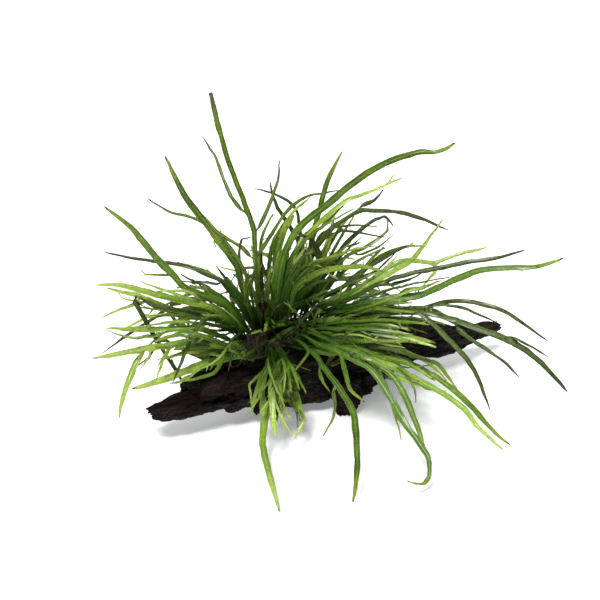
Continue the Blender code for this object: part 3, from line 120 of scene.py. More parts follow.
world = bpy.data.worlds.new("surround")
bpy.context.scene.world = world
world.use_nodes = True
world_tree = world.node_tree
surround = world_tree.nodes["Background"]
surround.inputs["Color"].default_value = (1.0, 1.0, 1.0, 1.0)
path = world_tree.nodes.new("ShaderNodeLightPath")
fill = world_tree.nodes.new("ShaderNodeMapRange")
fill.inputs["To Min"].default_value = SURROUND_LIGHT
fill.inputs["To Max"].default_value = SURROUND_SHEEN
strength = world_tree.nodes.new("ShaderNodeMapRange")
strength.inputs["To Max"].default_value = 1.0
world_tree.links.new(path.outputs["Is Glossy Ray"], fill.inputs["Value"])
world_tree.links.new(fill.outputs["Result"], strength.inputs["To Min"])
world_tree.links.new(path.outputs["Is Camera Ray"], strength.inputs["Value"])
world_tree.links.new(strength.outputs["Result"], surround.inputs["Strength"])
print("lights:", key.name, rim.name, "and a white surround")

# %% [markdown]
# ## Small helpers for shaders
# Each finish is a chain of nodes. Short helpers keep those chains readable: one adds a node with
# its values, one joins two sockets, and the others are the sums and mixes that come up most.


# %% Nodes and links
def add(tree, kind, **values):
    """A new node of a kind, with values for its named inputs and settings."""
    node = tree.nodes.new("ShaderNode" + kind)
    for name, value in values.items():
        if name in node.inputs:
            node.inputs[name].default_value = value
        else:
            setattr(node, name, value)
    return node


def join(tree, start, end):
    """Links an output to an input."""
    tree.links.new(start, end)


print("helpers for nodes:", add.__name__, join.__name__)


# %% Sums and mixes
def maths(tree, operation, first, second=None, clamp=False):
    """One sum on sockets or numbers."""
    node = add(tree, "Math", operation=operation, use_clamp=clamp)
    for place, value in enumerate((first, second)):
        if value is None:
            continue
        if isinstance(value, (int, float)):
            node.inputs[place].default_value = value
        else:
            join(tree, value, node.inputs[place])
    return node.outputs[0]


def times(tree, first, second):
    return maths(tree, "MULTIPLY", first, second)


def plus(tree, first, second):
    return maths(tree, "ADD", first, second)


def fade(tree, value, start, stop, low=0.0, high=1.0):
    """A smooth change from low to high while the value goes from start to stop."""
    node = add(tree, "MapRange", interpolation_type="SMOOTHSTEP")
    for name, number in (("From Min", start), ("From Max", stop), ("To Min", low), ("To Max", high)):
        node.inputs[name].default_value = number
    join(tree, value, node.inputs["Value"])
    return node.outputs["Result"]


def tinted(tree, mask, under, over):
    """The colour under, or over where the mask is one."""
    node = add(tree, "Mix", data_type="RGBA", clamp_factor=True)
    join(tree, mask, node.inputs["Factor"])
    for name, value in (("A", under), ("B", over)):
        socket = [s for s in node.inputs if s.name == name and s.type == "RGBA"][0]
        if isinstance(value, tuple):
            socket.default_value = (*value, 1.0)
        else:
            join(tree, value, socket)
    return [s for s in node.outputs if s.type == "RGBA"][0]


print("helpers for sums and mixes:", [f.__name__ for f in (maths, times, plus, fade, tinted)])

# %% [markdown]
# A shader node group is an effect that several finishes share. It has named sockets and gives back
# only masks, colours and heights that change over the surface. What is the same all over, such as
# how much light the wood throws back, is set on the finish itself.


# %% Groups and finishes
def new_group(name, inputs, outputs):
    """An empty shader group with named number or vector inputs and outputs."""
    group = bpy.data.node_groups.new(name, "ShaderNodeTree")
    for label, kind, value in inputs:
        socket = group.interface.new_socket(label, in_out="INPUT", socket_type="NodeSocket" + kind)
        socket.default_value = value
    for label, kind in outputs:
        group.interface.new_socket(label, in_out="OUTPUT", socket_type="NodeSocket" + kind)
    ends = group.nodes.new("NodeGroupInput"), group.nodes.new("NodeGroupOutput")
    return group, ends[0].outputs, ends[1].inputs


def place_group(tree, group, **values):
    """The group as a node in a finish, with that finish's own values."""
    node = tree.nodes.new("ShaderNodeGroup")
    node.node_tree = group
    for name, value in values.items():
        node.inputs[name.replace("_", " ")].default_value = value
    return node.outputs


def new_finish(name, roughness, **settings):
    """A material with its Principled shader. Settings that are the same all over go in here."""
    finish = bpy.data.materials.new(name)
    finish.use_nodes = True
    shader = finish.node_tree.nodes["Principled BSDF"]
    shader.inputs["Roughness"].default_value = roughness
    for label, value in settings.items():
        shader.inputs[label.replace("_", " ")].default_value = value
    return finish, finish.node_tree, shader.inputs


def raise_bumps(tree, shader, height, distance, strength=1.0):
    """Fine relief as a bump on the shader's normal. A height of one is so many millimetres."""
    bump = add(tree, "Bump", Strength=strength, Distance=distance * MM)
    join(tree, height, bump.inputs["Height"])
    join(tree, bump.outputs["Normal"], shader["Normal"])


print("helpers for finishes:", [f.__name__ for f in (new_group, place_group, new_finish, raise_bumps)])

# %% [markdown]
# ## The floor
# White paper, with a faint tooth in its colour so that it doesn't look a perfect plane. It lies on
# a table that is lit a little from below, as such plants often are for a picture, so its shadows
# stay light. It isn't part of the plant, so it isn't attached to it.

# %% Paper floor
FLOOR_HALF = 3.0
TABLE_GLOW = 0.21
GLOW_COLOUR = (0.95, 0.97, 1.0, 1.0)
# The tooth is painted shade: noise darkens the white a little, as if in small hollows.
PAPER_TOOTH_SHADE = (0.86, 0.86, 0.87)
PAPER_WHITE = (0.9, 0.9, 0.9)
floor_mesh = bpy.data.meshes.new("paper")
corners = [(-1, -1), (1, -1), (1, 1), (-1, 1)]
floor_mesh.from_pydata([(x * FLOOR_HALF, y * FLOOR_HALF, 0.0) for x, y in corners], [], [(0, 1, 2, 3)])
floor = bpy.data.objects.new("paper", floor_mesh)
bpy.context.scene.collection.objects.link(floor)
paper_glow = {"Emission_Color": GLOW_COLOUR, "Emission_Strength": TABLE_GLOW}
paper, paper_tree, paper_shader = new_finish("paper", roughness=0.9, **paper_glow)
paper_grain = add(paper_tree, "TexNoise", Scale=900.0, Detail=3.0)
paper_colour = tinted(paper_tree, paper_grain.outputs["Fac"], PAPER_TOOTH_SHADE, PAPER_WHITE)
join(paper_tree, paper_colour, paper_shader["Base Color"])
floor_mesh.materials.append(paper)
print("paper:", 2 * FLOOR_HALF, "m square")

# %% [markdown]
# ## What every leaf shares
# A java fern leaf is thin and leathery. Its midrib is paler, its edges let light through, its
# tips are young and yellow-green with a dry brown end, and its stalk is dark. Painting each leaf
# by hand would never end, so each leaf mesh below will carry five numbers at every point: how far
# it is from the edge to the midrib, how far it is from the base and from the nearest tip, and two
# numbers for the whole leaf, which say how it differs from its neighbours and how long its dry
# ends are. The first group turns them into masks.

# %% Leaf zones, a shared group
ZONE_LENGTHS = {"Tip Length": 16.0, "Stalk Length": 24.0, "Shade Length": 62.0}
# Each zone fades in while its number goes from the first value to the second.
ZONE_FADES = {
    "Rib": (0.62, 0.95),
    "Rim": (0.30, 0.0),
    "Tip": (1.0, 0.1),
    "Stalk": (1.0, 0.25),
    "Shade": (1.0, 0.2),
    "Dry": (1.0, 0.3),
}
leaf_zones, zone_in, zone_out = new_group(
    "leaf zones",
    [(label, "Float", length) for label, length in ZONE_LENGTHS.items()],
    [(zone, "Float") for zone in (*ZONE_FADES, "Own")],
)


def measured(tree, name):
    """A number that the leaf meshes carry."""
    return add(tree, "Attribute", attribute_name=name).outputs["Fac"]


edge_to_rib = measured(leaf_zones, "edge_to_rib")
from_base = measured(leaf_zones, "from_base")
to_tip = measured(leaf_zones, "to_tip")
zone_numbers = {
    "Rib": edge_to_rib,
    "Rim": edge_to_rib,
    "Tip": maths(leaf_zones, "DIVIDE", to_tip, zone_in["Tip Length"]),
    "Stalk": maths(leaf_zones, "DIVIDE", from_base, zone_in["Stalk Length"]),
    "Shade": maths(leaf_zones, "DIVIDE", from_base, zone_in["Shade Length"]),
    "Dry": maths(leaf_zones, "DIVIDE", to_tip, measured(leaf_zones, "dry_end")),
}
for zone, number in zone_numbers.items():
    join(leaf_zones, fade(leaf_zones, number, *ZONE_FADES[zone]), zone_out[zone])
join(leaf_zones, measured(leaf_zones, "own_tone"), zone_out["Own"])
print("group:", leaf_zones.name, "with", sorted(zone_numbers))

# %% [markdown]
# Growth is never even: a leaf is darker in patches, and old leaves have brown specks. The second
# group gives both from noise in the plant's own space, so that no two leaves match.

# %% Growth patches, a shared group
PATCH_LEVELS = (0.32, 0.68)
# Specks are where a fine noise is above this level, which drops as their share grows.
SPECK_LEVEL = 0.78
SPECK_DROP = 0.5
SPECK_SHARPNESS = 14.0

growth_patches, patch_in, patch_out = new_group(
    "growth patches",
    [("Patch Scale", "Float", 60.0), ("Speck Scale", "Float", 420.0), ("Speck Share", "Float", 0.3)],
    [("Patches", "Float"), ("Specks", "Float")],
)
place = add(growth_patches, "TexCoord").outputs["Object"]
patch_noise = add(growth_patches, "TexNoise", Detail=3.0, Roughness=0.6)
join(growth_patches, place, patch_noise.inputs["Vector"])
join(growth_patches, patch_in["Patch Scale"], patch_noise.inputs["Scale"])
join(growth_patches, fade(growth_patches, patch_noise.outputs["Fac"], *PATCH_LEVELS), patch_out["Patches"])
speck_noise = add(growth_patches, "TexNoise", Detail=2.0, Roughness=0.5)
join(growth_patches, place, speck_noise.inputs["Vector"])
join(growth_patches, patch_in["Speck Scale"], speck_noise.inputs["Scale"])
speck_drop = times(growth_patches, patch_in["Speck Share"], SPECK_DROP)
speck_level = times(growth_patches, maths(growth_patches, "SUBTRACT", 1.0, speck_drop), SPECK_LEVEL)
speck_over = maths(growth_patches, "SUBTRACT", speck_noise.outputs["Fac"], speck_level)
specks = maths(growth_patches, "MULTIPLY", speck_over, SPECK_SHARPNESS, clamp=True)
join(growth_patches, specks, patch_out["Specks"])
print("group:", growth_patches.name)

# %% [markdown]
# The leathery skin has slanting side veins and a fine net between them. Both are heights: the
# side veins come from the distance to the base, skewed by the distance to the midrib, and the net
# is the edge pattern of small cells. Light and dark streaks run along the blade, so their noise
# is made in the leaf's own measures, long in one and short in the other. A finer noise of the
# same kind gives the mottled look that an old leaf has close by.

# %% Leathery skin, a shared group
VEIN_SLANT = 2.4
VEIN_SHARPNESS = 3.0
NET_WIDTH = 0.22
NET_SHARE = 0.35
STREAKS_ACROSS = 2.6
LEAVES_APART = 40.0
STREAK_LEVELS = (0.36, 0.64)
MOTTLE_LEVELS = (0.44, 0.60)
MOTTLE_FINENESS = 4.5

leathery_skin, skin_in, skin_out = new_group(
    "leathery skin",
    [("Vein Spacing", "Float", 2.2), ("Net Scale", "Float", 900.0), ("Streak Length", "Float", 9.0)],
    [("Height", "Float"), ("Veins", "Float"), ("Streaks", "Float"), ("Mottle", "Float")],
)
skin_from_base = measured(leathery_skin, "from_base")
skin_to_rib = measured(leathery_skin, "edge_to_rib")
skewed = maths(leathery_skin, "SUBTRACT", skin_from_base, times(leathery_skin, skin_to_rib, VEIN_SLANT))
turns = times(leathery_skin, maths(leathery_skin, "DIVIDE", skewed, skin_in["Vein Spacing"]), math.tau)
vein_wave = times(leathery_skin, plus(leathery_skin, maths(leathery_skin, "SINE", turns), 1.0), 0.5)
vein_lines = maths(leathery_skin, "POWER", vein_wave, VEIN_SHARPNESS)
cell_net = add(leathery_skin, "TexVoronoi", feature="DISTANCE_TO_EDGE")
join(leathery_skin, add(leathery_skin, "TexCoord").outputs["Object"], cell_net.inputs["Vector"])
join(leathery_skin, skin_in["Net Scale"], cell_net.inputs["Scale"])
net_lines = fade(leathery_skin, cell_net.outputs["Distance"], 0.0, NET_WIDTH)
skin_height = plus(leathery_skin, vein_lines, times(leathery_skin, net_lines, NET_SHARE))
join(leathery_skin, skin_height, skin_out["Height"])
join(leathery_skin, vein_lines, skin_out["Veins"])

streak_place = add(leathery_skin, "CombineXYZ")
streak_along = maths(leathery_skin, "DIVIDE", skin_from_base, skin_in["Streak Length"])
streak_across = times(leathery_skin, skin_to_rib, STREAKS_ACROSS)
leaf_apart = times(leathery_skin, measured(leathery_skin, "own_tone"), LEAVES_APART)
for axis, value in zip("XYZ", (streak_along, streak_across, leaf_apart)):
    join(leathery_skin, value, streak_place.inputs[axis])


def streak_noise(scale, detail, start, stop):
    """Streaks of one size, from none to full between two levels of noise."""
    made = add(leathery_skin, "TexNoise", Scale=scale, Detail=detail, Roughness=0.6)
    join(leathery_skin, streak_place.outputs["Vector"], made.inputs["Vector"])
    return fade(leathery_skin, made.outputs["Fac"], start, stop)


join(leathery_skin, streak_noise(1.0, 3.0, *STREAK_LEVELS), skin_out["Streaks"])
join(leathery_skin, streak_noise(MOTTLE_FINENESS, 2.0, *MOTTLE_LEVELS), skin_out["Mottle"])
print("group:", leathery_skin.name)

# %% [markdown]
# ## Three greens
# Young fronds are a bright yellow-green, most are a full green, and the shaded old ones are deep
# green to olive. One function mixes all three from the shared groups, so they stay of one plant:
# only the colours, the share of specks and the length of the tips differ. The colour is built up
# in layers, as glazes are: first deep and full green by patches, then each mask lays its own
# colour over what is there. A little light passes through each leaf, which subsurface scattering
# gives.

# %% Colours of the leaves
STALK = (0.008, 0.022, 0.001)
# SHADED is painted shade: the deep green laid over each leaf near its base, deep in the crown.
SHADED = (0.012, 0.064, 0.001)
SPECK = (0.016, 0.013, 0.005)
DRY = (0.055, 0.050, 0.042)
LEAF_LOOKS = {
    "leaf_pale": {
        "deep": (0.055, 0.140, 0.002),
        "full": (0.29, 0.47, 0.020),
        "cool": (0.15, 0.28, 0.075),
        "young": (0.56, 0.70, 0.16),
        "rib": (0.48, 0.62, 0.15),
        "specks": 0.15,
        "roughness": 0.36,
        "tip": 44.0,
    },
    "leaf_green": {
        "deep": (0.016, 0.050, 0.001),
        "full": (0.130, 0.240, 0.006),
        "cool": (0.058, 0.150, 0.036),
        "young": (0.36, 0.48, 0.050),
        "rib": (0.30, 0.42, 0.08),
        "specks": 0.30,
        "roughness": 0.35,
        "tip": 22.0,
    },
    "leaf_dark": {
        "deep": (0.010, 0.021, 0.001),
        "full": (0.090, 0.134, 0.011),
        "cool": (0.052, 0.098, 0.028),
        "young": (0.030, 0.040, 0.009),
        "rib": (0.17, 0.22, 0.065),
        "specks": 0.50,
        "roughness": 0.38,
        "tip": 30.0,
    },
}
print("ages of leaves:", sorted(LEAF_LOOKS))

# %% Leaf finishes
LEAF_BODY = {
    "Subsurface_Weight": 0.15,
    "Subsurface_Scale": 0.0010,
    "Subsurface_Radius": (0.6, 1.0, 0.25),
    "Specular_IOR_Level": 0.14,
    "Coat_Roughness": 0.24,
}
PATCH_SHARE = 0.40
OLD_TONE = 0.8
TONE_LIGHTNESS = (-0.14, 0.50)
COOL_TONES = (0.45, 0.85)
TIP_SHARE = 0.55
TIP_SHARE_BY_TONE = 0.4
ROUGHER, SMOOTHER = 0.08, 0.05
SHEEN = 0.34
SHEEN_IN_SHADE = 0.1 * SHEEN
SKIN_RELIEF = 0.16
SKIN_STRENGTH = 0.8


def leaf_finish(name, deep, full, cool, young, rib, specks, roughness, tip):
    """The finish of one age of leaf."""
    finish, tree, shader = new_finish(name, roughness, **LEAF_BODY)
    zones = place_group(tree, leaf_zones, Tip_Length=tip)
    patches = place_group(tree, growth_patches, Speck_Share=specks)
    skin = place_group(tree, leathery_skin)
    lightness = times(tree, plus(tree, patches["Patches"], skin["Streaks"]), PATCH_SHARE)
    own_lightness = fade(tree, zones["Own"], 0.0, OLD_TONE, *TONE_LIGHTNESS)
    colour = tinted(tree, maths(tree, "ADD", lightness, own_lightness, clamp=True), deep, full)
    tip_share = plus(tree, times(tree, zones["Own"], TIP_SHARE_BY_TONE), TIP_SHARE)
    # Each layer is a mask, how much of its colour that gives at most, and the colour.
    layers = [
        (fade(tree, zones["Own"], *COOL_TONES), 0.55, cool),
        # The rim layer is partly the edges' own margin colour and partly painted light shining through the
        # thin edges.
        (zones["Rim"], 0.50, young),
        (times(tree, zones["Tip"], tip_share), 1.0, young),
        (zones["Rib"], 0.34, rib),
        (skin["Veins"], 0.16, rib),
        (skin["Mottle"], 0.52, deep),
        # Painted shade: darker towards each leaf's base, where the crowded crown is in shadow.
        (zones["Shade"], 0.70, SHADED),
        (zones["Stalk"], 0.80, STALK),
        (patches["Specks"], 0.70, SPECK),
        (zones["Dry"], 0.85, DRY),
    ]
    for mask, most, over in layers:
        colour = tinted(tree, times(tree, mask, most), colour, over)
    join(tree, colour, shader["Base Color"])
    rough = fade(tree, patches["Patches"], 0.0, 1.0, roughness + ROUGHER, roughness - SMOOTHER)
    join(tree, rough, shader["Roughness"])
    join(tree, fade(tree, zones["Shade"], 0.0, 1.0, SHEEN, SHEEN_IN_SHADE), shader["Coat Weight"])
    raise_bumps(tree, shader, plus(tree, skin["Height"], skin["Mottle"]), SKIN_RELIEF, SKIN_STRENGTH)
    return finish


leaf_finishes = {slot: leaf_finish(slot.replace("_", " "), **look) for slot, look in LEAF_LOOKS.items()}
print("leaf finishes:", [finish.name for finish in leaf_finishes.values()])

# %% [markdown]
# ## From a plain solid to a leaf
# The solids are coarse: each section of a blade has four corners, left edge, crest, right edge and
# keel. That is a good cage for a subdivision surface. Sharp edges get a full crease, so that they
# stay thin, and all else is rounded. A subdivision surface shrinks away from its cage, which would
# move the tips and bends. So the cage is first moved outwards, a few times, by just as much as
# its smooth surface falls short. Measured numbers ride along on the cage's corners.

# %% The cage of a solid
WELD = 1e-6
FLAT_PAIR = math.radians(40)
SQUARE_PAIR = math.radians(120)
SHARP_RIM = math.radians(96)


def cage_of(solid):
    """The solid's corners and faces, welded, with pairs of triangles joined to quads."""
    cage = bmesh.new()
    cage.from_mesh(solid.data)
    bmesh.ops.remove_doubles(cage, verts=cage.verts, dist=WELD)
    limits = {"angle_face_threshold": FLAT_PAIR, "angle_shape_threshold": SQUARE_PAIR}
    bmesh.ops.join_triangles(cage, faces=cage.faces, **limits)
    cage.normal_update()
    cage.verts.index_update()
    cage.verts.ensure_lookup_table()
    return cage


def crease_rims(cage, least=SHARP_RIM):
    """Marks the edges that stay sharp, and returns the numbers of their corners."""
    crease = cage.edges.layers.float.new("crease_edge")
    rims = [e for e in cage.edges if e.is_manifold and e.calc_face_angle() > least]
    for edge in rims:
        edge[crease] = 1.0
    return {v.index for edge in rims for v in edge.verts}


def as_object(name, cage):
    """The cage as an object in the scene."""
    mesh = bpy.data.meshes.new(name)
    cage.to_mesh(mesh)
    cage.free()
    made = bpy.data.objects.new(name, mesh)
    bpy.context.scene.collection.objects.link(made)
    return made


print("cages: creased beyond", round(math.degrees(SHARP_RIM)), "degrees")

# %% A fitted subdivision surface
FIT_ROUNDS = 5
ROUGH_FIT_ROUNDS = 3
FIT_SHARE = 1.15


def corners_of(mesh):
    """The places of a mesh's corners, one row each."""
    places = np.empty(len(mesh.vertices) * 3)
    mesh.vertices.foreach_get("co", places)
    return places.reshape(-1, 3)


def normals_of(mesh):
    """The directions in which a mesh's surface faces at its corners, one row each."""
    normals = np.empty(len(mesh.vertices) * 3)
    mesh.vertex_normals.foreach_get("vector", normals)
    return normals.reshape(-1, 3)


def put_corners(mesh, places):
    """Moves a mesh's corners to new places."""
    mesh.vertices.foreach_set("co", np.asarray(places).ravel())
    mesh.update()


def smoothed(made):
    """The mesh that the object's modifiers give now."""
    shown = made.evaluated_get(bpy.context.evaluated_depsgraph_get())
    return bpy.data.meshes.new_from_object(shown)


def subdivided(made, levels, rounds=FIT_ROUNDS):
    """Puts a fitted subdivision surface on the object and makes it real."""
    surface = made.modifiers.new("rounding", "SUBSURF")
    wanted = corners_of(made.data)
    corners = wanted.copy()
    surface.levels = surface.render_levels = 1
    for _ in range(rounds):
        trial = smoothed(made)
        corners += FIT_SHARE * (wanted - corners_of(trial)[: len(wanted)])
        put_corners(made.data, corners)
        bpy.data.meshes.remove(trial)
    surface.levels = surface.render_levels = levels
    result = smoothed(made)
    made.modifiers.clear()
    spent = made.data
    made.data = result
    bpy.data.meshes.remove(spent)
    return made


print("surfaces: fitted in", FIT_ROUNDS, "rounds, or roughly in", ROUGH_FIT_ROUNDS)

# %% [markdown]
# The numbers for the leaf zones come from walking along the cage's edges: a shortest walk from the
# base gives the distance to it, the places where that distance peaks are the tips, and a second
# walk from all tips at once gives the distance to the nearest. The base is the corner that is
# nearest to a rhizome.

# %% Walks along a leaf
rhizome_nodes = [nodes[n] for n in sorted(nodes) if n.startswith("rhizome")]
rhizome_skin = bmesh.new()
for node in rhizome_nodes:
    rhizome_skin.from_mesh(node.data)
rhizome_tree = BVHTree.FromBMesh(rhizome_skin)


def walk_from(starts, cage):
    """The shortest way along edges to each corner, in millimetres."""
    reached = {number: 0.0 for number in starts}
    ahead = [(0.0, number) for number in starts]
    while ahead:
        so_far, number = heapq.heappop(ahead)
        if so_far > reached[number]:
            continue
        for edge in cage.verts[number].link_edges:
            other = edge.other_vert(cage.verts[number]).index
            length = so_far + edge.calc_length() / MM
            if length < reached.get(other, math.inf):
                reached[other] = length
                heapq.heappush(ahead, (length, other))
    return reached


print("rhizomes to measure from:", [n.name for n in rhizome_nodes])

# %% The five numbers of a leaf
LEAF_NUMBERS = ("edge_to_rib", "from_base", "to_tip", "own_tone", "dry_end")
# How long the dry ends of each age are, in millimetres.
DRY_ENDS = {"leaf_pale": 0.8, "leaf_green": 1.6, "leaf_dark": 7.0}


def next_to(cage, number):
    """The numbers of the corners that an edge joins to this one."""
    corner = cage.verts[number]
    return [edge.other_vert(corner).index for edge in corner.link_edges]


def measure_leaf(cage, rims, own_tone, dry_end, bases):
    """Gives every corner of a leaf's cage its five numbers, and returns the line to its far tip."""
    layers = {n: cage.verts.layers.float.new(n) for n in LEAF_NUMBERS}
    cage.verts.ensure_lookup_table()
    way = walk_from(bases, cage)
    corners = range(len(cage.verts))
    peaks = [c for c in corners if all(way[other] < way[c] for other in next_to(cage, c))]
    tip_way = walk_from(peaks, cage)
    for vertex in cage.verts:
        vertex[layers["edge_to_rib"]] = 0.0 if vertex.index in rims else 1.0
        vertex[layers["from_base"]] = way[vertex.index]
        vertex[layers["to_tip"]] = tip_way[vertex.index]
        vertex[layers["own_tone"]] = own_tone
        vertex[layers["dry_end"]] = dry_end
    number = max(peaks, key=way.get)
    spine = [cage.verts[number].co / MM]
    while way[number] > 0:
        number = min(next_to(cage, number), key=way.get)
        spine.append(cage.verts[number].co / MM)
    return np.array(spine[::-1])


print("numbers of a leaf:", *LEAF_NUMBERS)

# %% [markdown]
# Last come the midrib and the wavy edge. The midrib is pushed out along the surface's normal where
# the point is near it. The edge is moved by a smooth noise that is zero at the midrib, so blades
# ripple without leaving their line. That noise starts from the clock unless it is given a start,
# and with one the leaves come out the same each time.

# %% Midrib and wavy edge
RIB_RISE = 0.17
STALK_RISE = 0.12
RIB_ZONE = (0.66, 1.0)
BLADE_START = (6.0, 18.0)
RIPPLE = 0.55
RIPPLE_LENGTH = 8.0
CRINKLE = 0.34
CRINKLE_LENGTH = 2.6
RIPPLE_START = 4
noise.seed_set(RIPPLE_START)


def numbers_of(mesh, name):
    """One of the numbers that a leaf's mesh carries, at all its corners."""
    values = np.empty(len(mesh.vertices))
    mesh.attributes[name].data.foreach_get("value", values)
    return values


def eased(values, start, stop):
    """A smooth change from none to one while the values go from start to stop."""
    share = np.clip((values - start) / (stop - start), 0.0, 1.0)
    return share * share * (3 - 2 * share)


def shape_blade(made, seed):
    """Raises the midrib and ripples the edges of a smooth leaf."""
    mesh = made.data
    places = corners_of(mesh)
    to_rib = numbers_of(mesh, "edge_to_rib")
    in_blade = eased(numbers_of(mesh, "from_base"), *BLADE_START)
    rise = eased(to_rib, *RIB_ZONE) * (STALK_RISE + (RIB_RISE - STALK_RISE) * in_blade)
    places += normals_of(mesh) * (rise * MM)[:, None]
    looseness = (1 - to_rib) * in_blade
    for size, length in ((RIPPLE, RIPPLE_LENGTH), (CRINKLE, CRINKLE_LENGTH)):
        shift = [noise.noise_vector(Vector(p) / (length * MM) + Vector((seed, 0, 0))) for p in places]
        places += np.array(shift) * (looseness * size * MM)[:, None]
    put_corners(mesh, places)
    mesh.shade_smooth()


print("midrib rises", RIB_RISE, "mm, edges ripple by", RIPPLE, "mm")

# %% [markdown]
# ## The fronds
# Each solid frond is now grown into a leaf, which takes its place in the picture and keeps its
# material slot. The number for its own tone comes from its place in the list, so it is the same
# each time. Leaves that reach to the right have higher numbers: on this plant they are older, and
# cooler in tone than those on the left.
#
# The tallest frond has lost its tip: it ends broad and blunt, and is dry there for a long way. The
# solid ends in a point, so the rings of corners near its top are widened, and the last corner is
# drawn back into the end. That leaves the solid's outline as it is, but for a millimetre.

# %% The frond that lost its tip
CUT_LEAF = "frond_tall"
CUT_DRY_END = 20.0
# Corners that are between the first two distances from the top corner are widened by the third.
CUT_RINGS = ((0.0, 1.4, 2.1), (10.0, 20.0, 1.4))
CUT_REST = 0.2


def cut_off(cage):
    """Makes the top end of a leaf broad and blunt."""
    last = max(cage.verts, key=lambda v: v.co.z)
    gaps = {v: (v.co - last.co).length / MM for v in cage.verts if v is not last}
    rings = []
    for nearest, farthest, widening in CUT_RINGS:
        ring = [v for v, gap in gaps.items() if nearest < gap < farthest]
        middle = sum((v.co for v in ring), Vector()) / len(ring)
        rings.append((ring, middle, widening))
    for ring, middle, widening in rings:
        for vertex in ring:
            vertex.co = middle + (vertex.co - middle) * widening
    end, end_middle = rings[0][:2]
    last.co = end_middle.lerp(last.co, CUT_REST)
    crease = cage.edges.layers.float["crease_edge"]
    for edge in cage.edges:
        if all(vertex in end for vertex in edge.verts):
            edge[crease] = 1.0
    print("cut off:", CUT_LEAF, "with", [len(ring) for ring, _, _ in rings], "corners moved")


print("cut frond:", CUT_LEAF, "dry for", CUT_DRY_END, "mm")

# %% Grow all fronds
LEAF_LEVELS = 2
TONE_STEP = 0.618
SIDE_SHARE = 0.45
SIDE_ENDS = (-60.0, 55.0)


def tone_at(chance, middle):
    """A leaf's own tone from a chance number and how far right its middle is, in millimetres."""
    return (1 - SIDE_SHARE) * chance + SIDE_SHARE * float(eased(middle, *SIDE_ENDS))


def dress_frond(node, number):
    """Grows the leaf that stands for a frond's solid, and returns the line to its tip."""
    cage = cage_of(node)
    rims = crease_rims(cage)
    if node.name == CUT_LEAF:
        cut_off(cage)
    base = min(cage.verts, key=lambda v: rhizome_tree.find_nearest(v.co)[3]).index
    middle = np.mean([v.co.x for v in cage.verts]) / MM
    tone = tone_at((number * TONE_STEP) % 1.0, middle)
    slot = node.data.materials[0].name.split(".")[0]
    dry_end = CUT_DRY_END if node.name == CUT_LEAF else DRY_ENDS[slot]
    spine = measure_leaf(cage, rims, tone, dry_end, [base])
    leaf = subdivided(as_object(node.name.replace("frond", "leaf"), cage), LEAF_LEVELS)
    shape_blade(leaf, number)
    leaf.data.materials.append(leaf_finishes[slot])
    node.data.materials[0] = leaf_finishes[slot]
    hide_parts(node.name)
    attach(leaf, "root")
    return spine


frond_nodes = [nodes[n] for n in sorted(nodes) if n.startswith("frond")]
spines = [dress_frond(node, number) for number, node in enumerate(frond_nodes)]
print("fronds:", len(spines), "longest line:", max(map(len, spines)), "places")

# %% [markdown]
# ## The driftwood
# Old bogwood is almost black. Its surface follows the fibres: long fine ridges and cracks along
# the slab, a few soft hollows, and plates where whole layers have split off. The solid is rounded
# as the leaves were, then pushed in and out along its normals. Carving by hand would give the same,
# but slowly, and a bump alone would leave the outline smooth. The noise is stretched along the
# slab, so the grooves run with the fibres. Noise that is cut into steps gives the plates, with
# ragged ends, and a finer one the chips that broke out. What is finer still is left to the bump in
# its finish.

# %% Rounded wood
WOOD_LEVELS = 3
WOOD_RIM = math.radians(70)
WOOD_START = np.array([-116.0, -36.0])
WOOD_END = np.array([91.5, 73.0])
wood_length = np.linalg.norm(WOOD_END - WOOD_START)
wood_along = (WOOD_END - WOOD_START) / wood_length
wood_turn = math.atan2(wood_along[1], wood_along[0])

wood_node = nodes["driftwood"]
wood_cage = cage_of(wood_node)
crease_rims(wood_cage, WOOD_RIM)
wood = subdivided(as_object("bogwood", wood_cage), WOOD_LEVELS, ROUGH_FIT_ROUNDS)
print("wood:", len(wood.data.polygons), "faces, turned", round(math.degrees(wood_turn)), "degrees")

# %% Noise along the fibres
# Each kind of noise has cells so many millimetres long and wide, and a place of its own in the noise.
FIBRES = [(34.0, 2.2, 0.0), (20.0, 1.1, 7.3)]
CRACK = (46.0, 4.2, 31.0)
HOLLOW = (16.0, 8.0, 53.0)
CHIP = (8.0, 2.6, 91.0)
PLATE = (40.0, 9.0, 71.0)
RAGGED_END = (12.0, 1.6, 13.0)


def stretched(places, length, width, seed):
    """Noise whose cells are long along the slab, at each of the places."""
    along = (places[:, 0] * wood_along[0] + places[:, 1] * wood_along[1]) / length
    aside = (places[:, 1] * wood_along[0] - places[:, 0] * wood_along[1]) / width
    height = places[:, 2] / width
    return np.array([noise.noise(Vector((a, b, c + seed))) for a, b, c in zip(along, aside, height)])


print("cracks are about", CRACK[0], "mm long, chips", CHIP[0], "mm")

# %% Fibres, cracks and plates in the wood
FIBRE_HEIGHTS = (0.75, 0.40)
FIBRE_CREST = 0.5
FIBRE_SLOPE = 2.2
CRACK_DEPTH = 1.4
CRACK_LEVEL = 0.09
HOLLOW_DEPTH = 0.8
CHIP_DEPTH = 1.0
CHIP_LEVELS = (0.14, 0.24)
PLATE_COUNT = 6.0
PLATE_STEP = 0.85
PLATE_LEDGE = 0.22
RAGGED_SHARE = 0.16
# The carving is calmer near the thin far end, and whole from the second distance on.
CALM_SHARE = 0.3
CALM_END = (2.0, 16.0)


